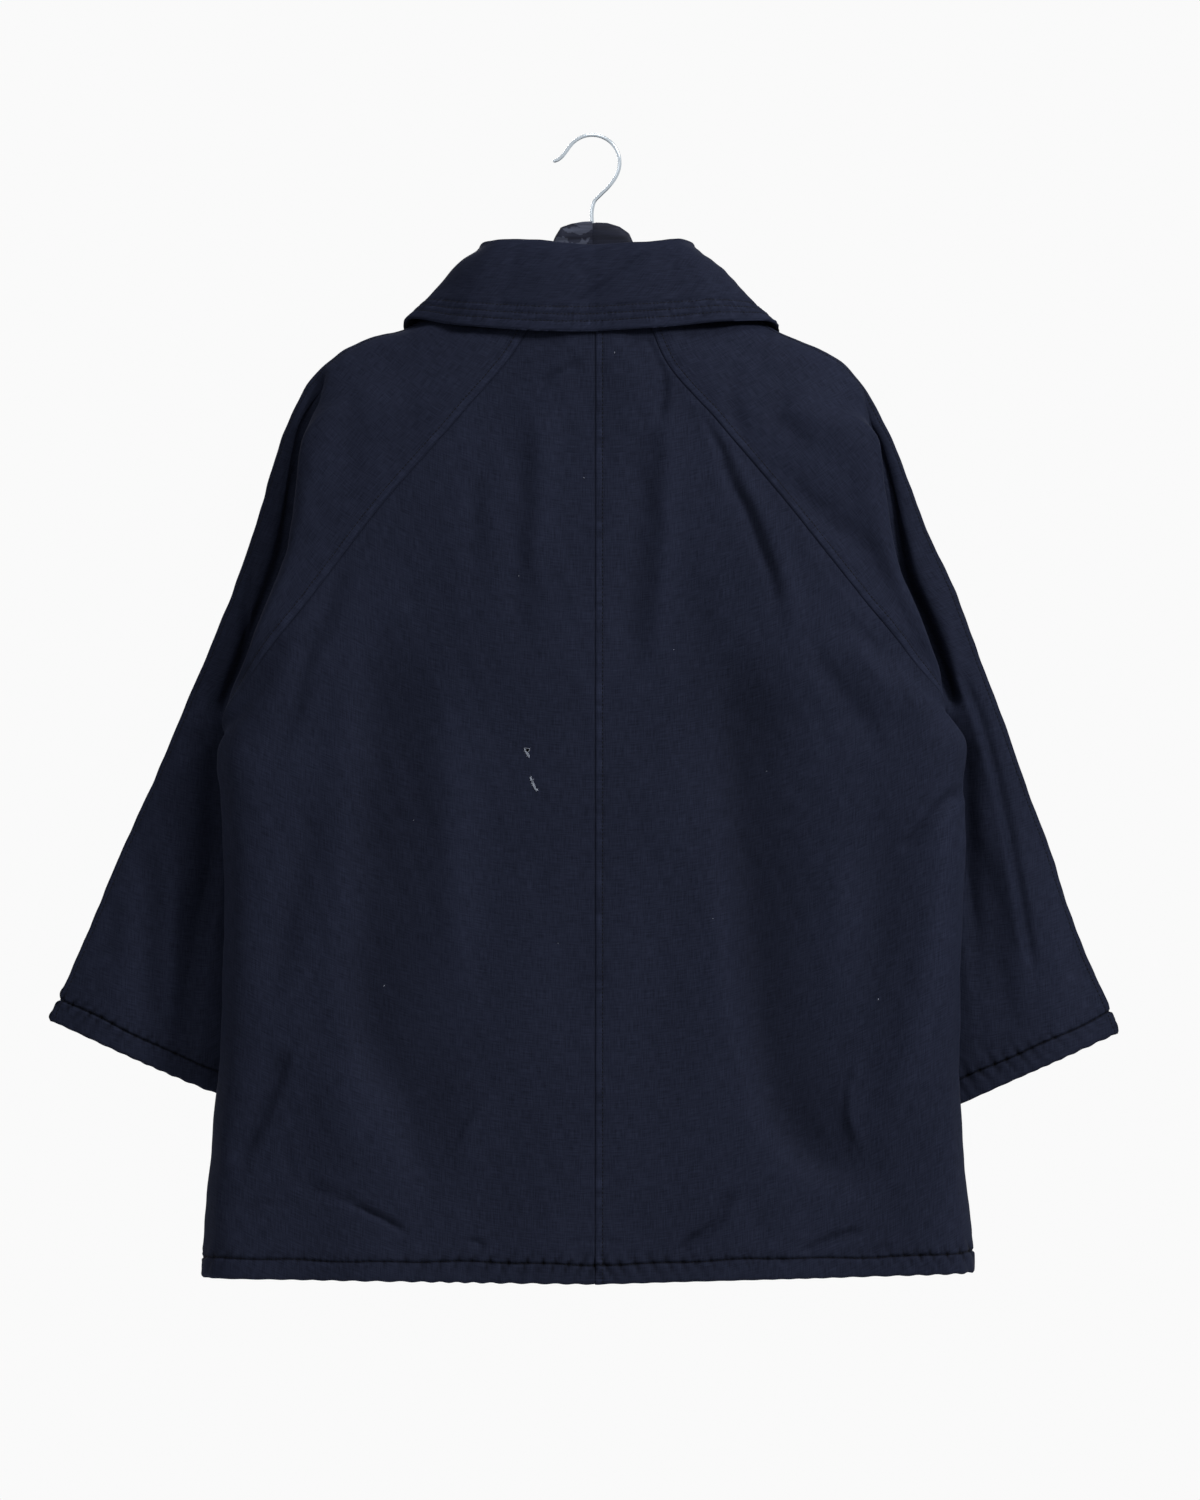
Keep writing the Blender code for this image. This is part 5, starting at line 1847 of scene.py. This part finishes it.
@dataclass
class Damage:
    """The two snags on the left back and the specks of lint."""

    panel: Panel
    other: Panel
    tear: tuple[float, float] = (-55.4, 503.0)
    streak: tuple[tuple[float, float], tuple[float, float]] = ((-53.0, 524.0), (-47.5, 536.0))
    corners: tuple[tuple[float, float], ...] = (
        (-1.9, -1.7), (2.1, -1.2), (1.8, 0.2), (0.3, 1.5), (-1.3, 0.2))
    fibre_radius: float = 0.17

    def on_cloth(self, panel: Panel, x: float, drop: float, lift: float) -> np.ndarray:
        """A point just above the cloth.

        Args:
            panel: which panel.
            x: the point's X.
            drop: its drop.
            lift: how far above the cloth it lies.

        Returns:
            The point.
        """
        point, normal = panel.spot(x, drop)
        point[0], point[2] = x, -drop
        return point + normal * lift

    def fibres(self, count: int, centre: tuple[float, float], spread: tuple[float, float], lean: float,
               length: float, seed: int) -> list[np.ndarray]:
        """Short curled fibres scattered round a place.

        Args:
            count: how many fibres.
            centre: the middle of the tuft, as X and drop.
            spread: its half sizes across and down.
            lean: the fibres' main direction, from straight down, in radians.
            length: their usual length.
            seed: which draw.

        Returns:
            The fibres' routes.
        """
        draw = np.random.default_rng(seed)
        routes = []
        for _ in range(count):
            angle, reach = draw.random() * math.tau, math.sqrt(draw.random())
            x = (centre[0] + spread[0] * reach * math.cos(angle)
                 + spread[1] * reach * math.sin(angle) * math.sin(lean))
            drop = centre[1] + spread[1] * reach * math.sin(angle)
            heading = lean + draw.normal(0, 0.6)
            size = length * (0.5 + draw.random())
            bend = draw.normal(0, 0.9)
            steps = np.linspace(-0.5, 0.5, 5)
            route = []
            for step in steps:
                turn = heading + bend * step
                across_by, down_by = size * step * math.sin(turn), size * step * math.cos(turn)
                lift = 0.25 + 0.5 * (0.25 - step ** 2)
                route.append(self.on_cloth(self.panel, x + across_by, drop + down_by, lift))
            routes.append(np.array(route))
        return routes

    def build(self) -> list[bpy.types.Object]:
        """Makes the torn hole as a dark sheet of painted shadow, its frayed edge, the pale streak and the lint.

        Returns:
            Their objects.
        """
        pale = FRAYED.build()
        hole = np.array([self.on_cloth(self.panel, self.tear[0] + x, self.tear[1] + down, 0.18)
                         for x, down in self.corners])
        # A dark sheet of painted shadow where the tear opens.
        pieces = [from_polygons("tear_hole_shadow", hole, [tuple(range(len(hole)))], HOLE.build())]
        rim = []
        for k, corner in enumerate(self.corners):
            start, end = np.array(corner), np.array(self.corners[(k + 1) % len(self.corners)])
            places = [np.array(self.tear) + 1.15 * (start + (end - start) * share)
                      for share in np.linspace(0, 1, 5)]
            rim.append(np.array([self.on_cloth(self.panel, *place, 0.35) for place in places]))
        tuft = rim + self.fibres(16, (self.tear[0] + 0.8, self.tear[1] + 3.6), (0.9, 2.0), 0.4, 2.2, 31)
        tuft += self.fibres(6, (self.tear[0] - 1.5, self.tear[1] - 0.2), (0.6, 1.6), 0.1, 1.8, 32)
        (x0, drop0), (x1, drop1) = self.streak
        middle, lean = ((x0 + x1) / 2, (drop0 + drop1) / 2), math.atan2(x1 - x0, drop1 - drop0)
        streak = self.fibres(24, middle, (0.7, 5.0), lean, 2.8, 33)
        streak += self.fibres(9, (x1 - 0.4, drop1 - 1.0), (1.2, 1.2), lean + 0.5, 2.0, 34)
        for name, routes in (("tear_fray", tuft), ("snag_fray", streak)):
            radii = [np.full(len(route), self.fibre_radius) for route in routes]
            pieces.append(tubes(name, routes, radii, 5, pale))
        pieces.append(self.lint())
        for piece in pieces:
            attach(piece, "root")
        log.info("damage and lint: %d pieces", len(pieces))
        return pieces

    def lint(self) -> bpy.types.Object:
        """Small pale specks of fluff on both backs.

        Returns:
            One object with every speck.
        """
        specks = ((-172, 695, 0.8), (231, 706, 0.8), (-9, 281, 0.6), (16, 179, 0.7), (-62, 361, 0.5),
                  (64, 421, 0.5), (-148, 560, 0.5), (96, 640, 0.5), (-30, 660, 0.45), (140, 520, 0.45))
        draw = np.random.default_rng(9)
        routes, radii = [], []
        for x, drop, size in specks:
            panel = self.panel if x < 0 else self.other
            angle = draw.random() * math.tau
            right, down = size * math.cos(angle), size * math.sin(angle)
            ends = [self.on_cloth(panel, x + right * step, drop + down * step, 0.3) for step in (-1, 0, 1)]
            routes.append(np.array(ends))
            radii.append(np.array([0.5, 1.0, 0.5]) * size * 0.45)
        return tubes("lint", routes, radii, 6, LINT.build())


# --- buttons ---

@dataclass(frozen=True)
class Button:
    """A plain turned button with a raised rim, sewn through four holes."""

    number: int
    profile: tuple[tuple[float, float], ...] = (
        (0, 0), (7.8, 0), (9.6, 0.35), (10.6, 0.95), (11, 1.8), (10.8, 2.5), (10.1, 3.0), (9.1, 3.2),
        (8.1, 3.0), (7.3, 2.55), (6.6, 2.3), (0, 2.3))
    sides: int = 48
    hole_out: float = 1.7
    hole_radius: float = 0.75
    thread_radius: float = 0.34

    def build(self, resin: bpy.types.Material, dark: bpy.types.Material, thread: bpy.types.Material) -> None:
        """Makes the button on its solid's place, with its holes and thread.

        Args:
            resin: the button's material.
            dark: the material of the dark plugs of painted shadow in the holes.
            thread: the thread's material.
        """
        low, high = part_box(f"button_{self.number}")
        x, y, z = (low.x + high.x) / 2 / MM, low.y / MM, (low.z + high.z) / 2 / MM
        turn = np.arange(self.sides) * math.tau / self.sides
        rings = [np.stack([x + r * np.cos(turn), np.full(self.sides, y + h), z + r * np.sin(turn)], axis=1)
                 for r, h in self.profile[1:-1]]
        points = np.concatenate([[(x, y + self.profile[0][1], z)], *rings, [(x, y + self.profile[-1][1], z)]])
        count = self.sides
        faces = [(0, 1 + k, 1 + (k + 1) % count) for k in range(count)]
        for ring in range(len(rings) - 1):
            near, far = 1 + ring * count, 1 + (ring + 1) * count
            faces += [(near + k, far + k, far + (k + 1) % count, near + (k + 1) % count)
                      for k in range(count)]
        last, top = 1 + (len(rings) - 1) * count, len(points) - 1
        faces += [(last + (k + 1) % count, last + k, top) for k in range(count)]
        body = from_polygons(f"turned_button_{self.number}", points, faces, resin)
        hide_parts(f"button_{self.number}")
        face = y + self.profile[-1][1]
        both = (-self.hole_out, self.hole_out)
        bores = [np.array([(x + dx, face - 0.6, z + dz), (x + dx, face + 0.03, z + dz)])
                 for dx in both for dz in both]
        # Dark plugs of painted shadow in the four holes.
        holes = tubes(f"button_holes_{self.number}", bores, [np.full(2, self.hole_radius)] * 4, 14, dark)
        arch = ((-self.hole_out, -0.1), (-1.2, 0.3), (1.2, 0.3), (self.hole_out, -0.1))
        bars = [np.array([(x + dx, face + dy, z + dz) for dx, dy in arch]) for dz in both]
        sewn = tubes(f"button_thread_{self.number}", bars, [np.full(4, self.thread_radius)] * 2, 8, thread)
        for piece in (body, holes, sewn):
            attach(piece, "root")


# --- hanger ---

@dataclass(frozen=True)
class HangerArm:
    """One section of the hanger's arm: top and bottom drop, half thickness and forward shift."""

    out: float
    left_top: float
    right_top: float
    bottom: float
    half_thick: float
    forward: float


HANGER_ARMS = (
    HangerArm(0, 69.0, 70.0, 126, 7.0, 0.0),
    HangerArm(10, 69.4, 70.4, 127, 7.0, 0.0),
    HangerArm(20, 71.2, 73.4, 128, 7.0, 0.0),
    HangerArm(28, 74.0, 79.0, 130, 7.2, 0.0),
    HangerArm(33, 82.0, 90.0, 132, 7.0, 0.0),
    HangerArm(38, 96.0, 103.0, 134, 7.0, 0.0),
    HangerArm(48, 110.0, 113.0, 139, 7.0, 0.2),
    HangerArm(80, 126.0, 128.5, 154, 6.5, 0.6),
    HangerArm(120, 144.5, 150.0, 172, 7.5, 1.0),
    HangerArm(154, 161.5, 168.0, 187, 8.0, 1.0),
    HangerArm(186, 173.5, 185.0, 201, 8.5, 1.0),
    HangerArm(204, 183.0, 197.0, 211, 8.5, 1.0),
    HangerArm(212, 192.0, 205.0, 215, 7.5, 1.0),
    HangerArm(216, 201.0, 210.5, 216, 4.5, 1.0),
)


@dataclass
class Hanger:
    """The two-piece wooden hanger and its wire hook."""

    joint: float = -2.0
    joint_chamfer: float = 0.7
    sides: int = 40
    sections: int = 90
    neck: float = 50.0
    neck_sections: int = 40
    section_power: float = 0.6
    wire_radius: float = 1.55
    bend_radius: float = 22.6
    bend_centre: float = -2.4

    def half(self, side: Side, finish: bpy.types.Material) -> bpy.types.Object:
        """Makes one half: rounded sections from the joint to the arm's end.

        Args:
            side: which half.
            finish: its wood.

        Returns:
            The object.
        """
        outs = np.array([arm.out for arm in HANGER_ARMS], float)
        sizes = np.array([(arm.left_top if side is Side.LEFT else arm.right_top, arm.bottom, arm.half_thick,
                           arm.forward) for arm in HANGER_ARMS], float)
        where = np.concatenate([np.linspace(0, self.neck, self.neck_sections),
                                np.linspace(self.neck, outs[-1], self.sections - self.neck_sections + 1)[1:]])
        smooth = read_at(where, outs, sizes)
        out = where.copy()
        out[0] = self.joint * side.value
        out = np.maximum.accumulate(out)
        turn = np.arange(self.sides) * math.tau / self.sides
        wide = np.sign(np.cos(turn)) * np.abs(np.cos(turn)) ** self.section_power
        tall = np.sign(np.sin(turn)) * np.abs(np.sin(turn)) ** self.section_power
        smooth[0, (0, 2)] += (self.joint_chamfer, -self.joint_chamfer)
        top, bottom, thick, forward = smooth.T
        rings = np.stack([
            np.broadcast_to((side.value * out)[:, None], (len(out), self.sides)),
            forward[:, None] + thick[:, None] * wide[None],
            -(top + bottom)[:, None] / 2 + ((bottom - top) / 2)[:, None] * tall[None],
        ], axis=-1)
        body = ring_quads(len(out), self.sides)
        first_ring = np.arange(self.sides)
        ends = [first_ring[::-1], first_ring + (len(out) - 1) * self.sides]
        if side is Side.LEFT:
            body, ends = body[:, ::-1], [end[::-1] for end in ends]
        faces = [tuple(map(int, face)) for face in (*body, *ends)]
        piece = from_polygons(f"wood_{side.name.lower()}", rings.reshape(-1, 3), faces, finish)
        piece.data.set_sharp_from_angle(angle=math.radians(50))
        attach(piece, "root")
        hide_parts(f"hanger_{side.name.lower()}")
        return piece

    def hook_route(self) -> np.ndarray:
        """The wire's middle line: shank, the curve back out to the bend, the round bend and the flared tip.

        Returns:
            Its points.
        """
        centre = np.array([self.bend_centre, -(self.bend_radius - self.wire_radius)])
        shank = [(-2.4, -88.0), (-2.4, -72.0), (-2.4, -60.0), (-0.5, -53.0), (5.0, -47.0), (11.5, -40.5)]
        angles = np.radians(np.linspace(-26, 144, 15))
        bend = centre + self.bend_radius * np.stack([np.cos(angles), np.sin(angles)], axis=1)
        line = np.concatenate([shank, bend, [(-24.0, -12.3), (-27.4, -16.4), (-31.0, -19.0), (-34.5, -20.0)]])
        run = run_of(line)
        smooth = line_through(run, line, np.linspace(0, run[-1], 220))
        return np.stack([smooth[:, 0], np.zeros(len(smooth)), smooth[:, 1]], axis=1)

    def hook(self) -> bpy.types.Object:
        """Makes the wire hook with a rounded tip.

        Returns:
            The object.
        """
        route = self.hook_route()
        radius = np.full(len(route), self.wire_radius)
        radius[-3:] = self.wire_radius * np.array([0.97, 0.82, 0.45])
        points, quads = swept(route, radius, 20)
        faces = [tuple(dict.fromkeys(map(int, quad))) for quad in quads]
        piece = from_polygons("wire_hook", points, faces, STEEL.build())
        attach(piece, "root")
        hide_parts("hanger_hook")
        return piece

    def build(self) -> None:
        """Makes the hanger."""
        self.half(Side.LEFT, WORN_WOOD.build())
        self.half(Side.RIGHT, DARK_WOOD.build())
        self.hook()
        log.info("hanger: two halves and the hook")


# --- the studio ---

@dataclass(frozen=True)
class Studio:
    """A pale floor, a white surround, soft lights and the photo's camera."""

    distance: float = 7.0
    view_height: float = 1.23
    aim: tuple[float, float] = (0.0041, -0.5027)
    floor_half: float = 1500.0
    floor_drop: float = 1500.0
    surround: float = 0.955
    soft_light: float = 0.06

    def lamp(self, name: str, place: tuple[float, float, float], target: tuple[float, float, float],
             size: tuple[float, float], power: float) -> None:
        """Adds a soft area light that faces a target.

        Args:
            name: its name.
            place: where it stands, in metres.
            target: what it faces.
            size: its width and height.
            power: its power in watts.
        """
        light = bpy.data.lights.new(name, "AREA")
        light.shape, light.size, light.size_y, light.energy = "RECTANGLE", size[0], size[1], power
        made = bpy.data.objects.new(name, light)
        made.location = place
        made.rotation_euler = (Vector(target) - Vector(place)).to_track_quat("-Z", "Y").to_euler()
        bpy.context.scene.collection.objects.link(made)

    def build(self) -> None:
        """Makes the floor, the surround, the lights and the camera."""
        scene = bpy.context.scene
        corners = [(x * self.floor_half, y * self.floor_half, -self.floor_drop)
                   for x, y in ((-1, -1), (1, -1), (1, 1), (-1, 1))]
        floor = from_polygons("floor", np.array(corners), [(0, 1, 2, 3)], FLOOR.build())
        world = bpy.data.worlds.new("surround")
        world.use_nodes = True
        tree = world.node_tree
        seen, cast = tree.nodes["Background"], tree.nodes.new("ShaderNodeBackground")
        seen.inputs["Strength"].default_value = self.surround
        seen.inputs["Color"].default_value = (1.0, 1.0, 1.0, 1.0)
        cast.inputs["Strength"].default_value = self.soft_light
        cast.inputs["Color"].default_value = (0.97, 0.98, 1.0, 1.0)
        path, mix = tree.nodes.new("ShaderNodeLightPath"), tree.nodes.new("ShaderNodeMixShader")
        tree.links.new(path.outputs["Is Diffuse Ray"], mix.inputs["Fac"])
        tree.links.new(seen.outputs["Background"], mix.inputs[1])
        tree.links.new(cast.outputs["Background"], mix.inputs[2])
        tree.links.new(mix.outputs["Shader"], tree.nodes["World Output"].inputs["Surface"])
        scene.world = world
        scene.view_settings.view_transform = "Standard"
        middle = (0.0, 0.0, -0.5)
        self.lamp("key", (2.5, -2.2, 1.6), middle, (0.8, 0.8), 118)
        self.lamp("fill", (-2.2, -3.2, 0.6), middle, (1.4, 1.4), 15)
        self.lamp("top", (0.2, -1.5, 2.2), middle, (1.4, 0.8), 32)
        self.lamp("front", (-0.3, 3.4, 0.5), middle, (1.2, 1.2), 48)
        camera = bpy.data.cameras.new("camera")
        camera.sensor_fit, camera.sensor_height, camera.sensor_width = "VERTICAL", 36.0, 36.0
        camera.lens = camera.sensor_height * self.distance / self.view_height
        made = bpy.data.objects.new("camera", camera)
        made.location = (self.aim[0], -self.distance, self.aim[1])
        made.rotation_euler = (math.pi / 2, 0, 0)
        scene.collection.objects.link(made)
        scene.camera = made


def main() -> None:
    """Builds every piece in order."""
    Studio().build()
    body = CoatBody()
    cloth = body.build()
    sewing = body.sew()
    damage = Damage(body.panels[Cut.BACK, Side.LEFT], body.panels[Cut.BACK, Side.RIGHT]).build()
    Collar(body.panels).build()
    resin, dark, thread = RESIN.build(), HOLE.build(), NAVY_THREAD.build()
    for number in range(1, BUTTONS + 1):
        Button(number).build(resin, dark, thread)
    log.info("buttons: %d", BUTTONS)
    Hanger().build()


if __name__ == "__main__":
    main()
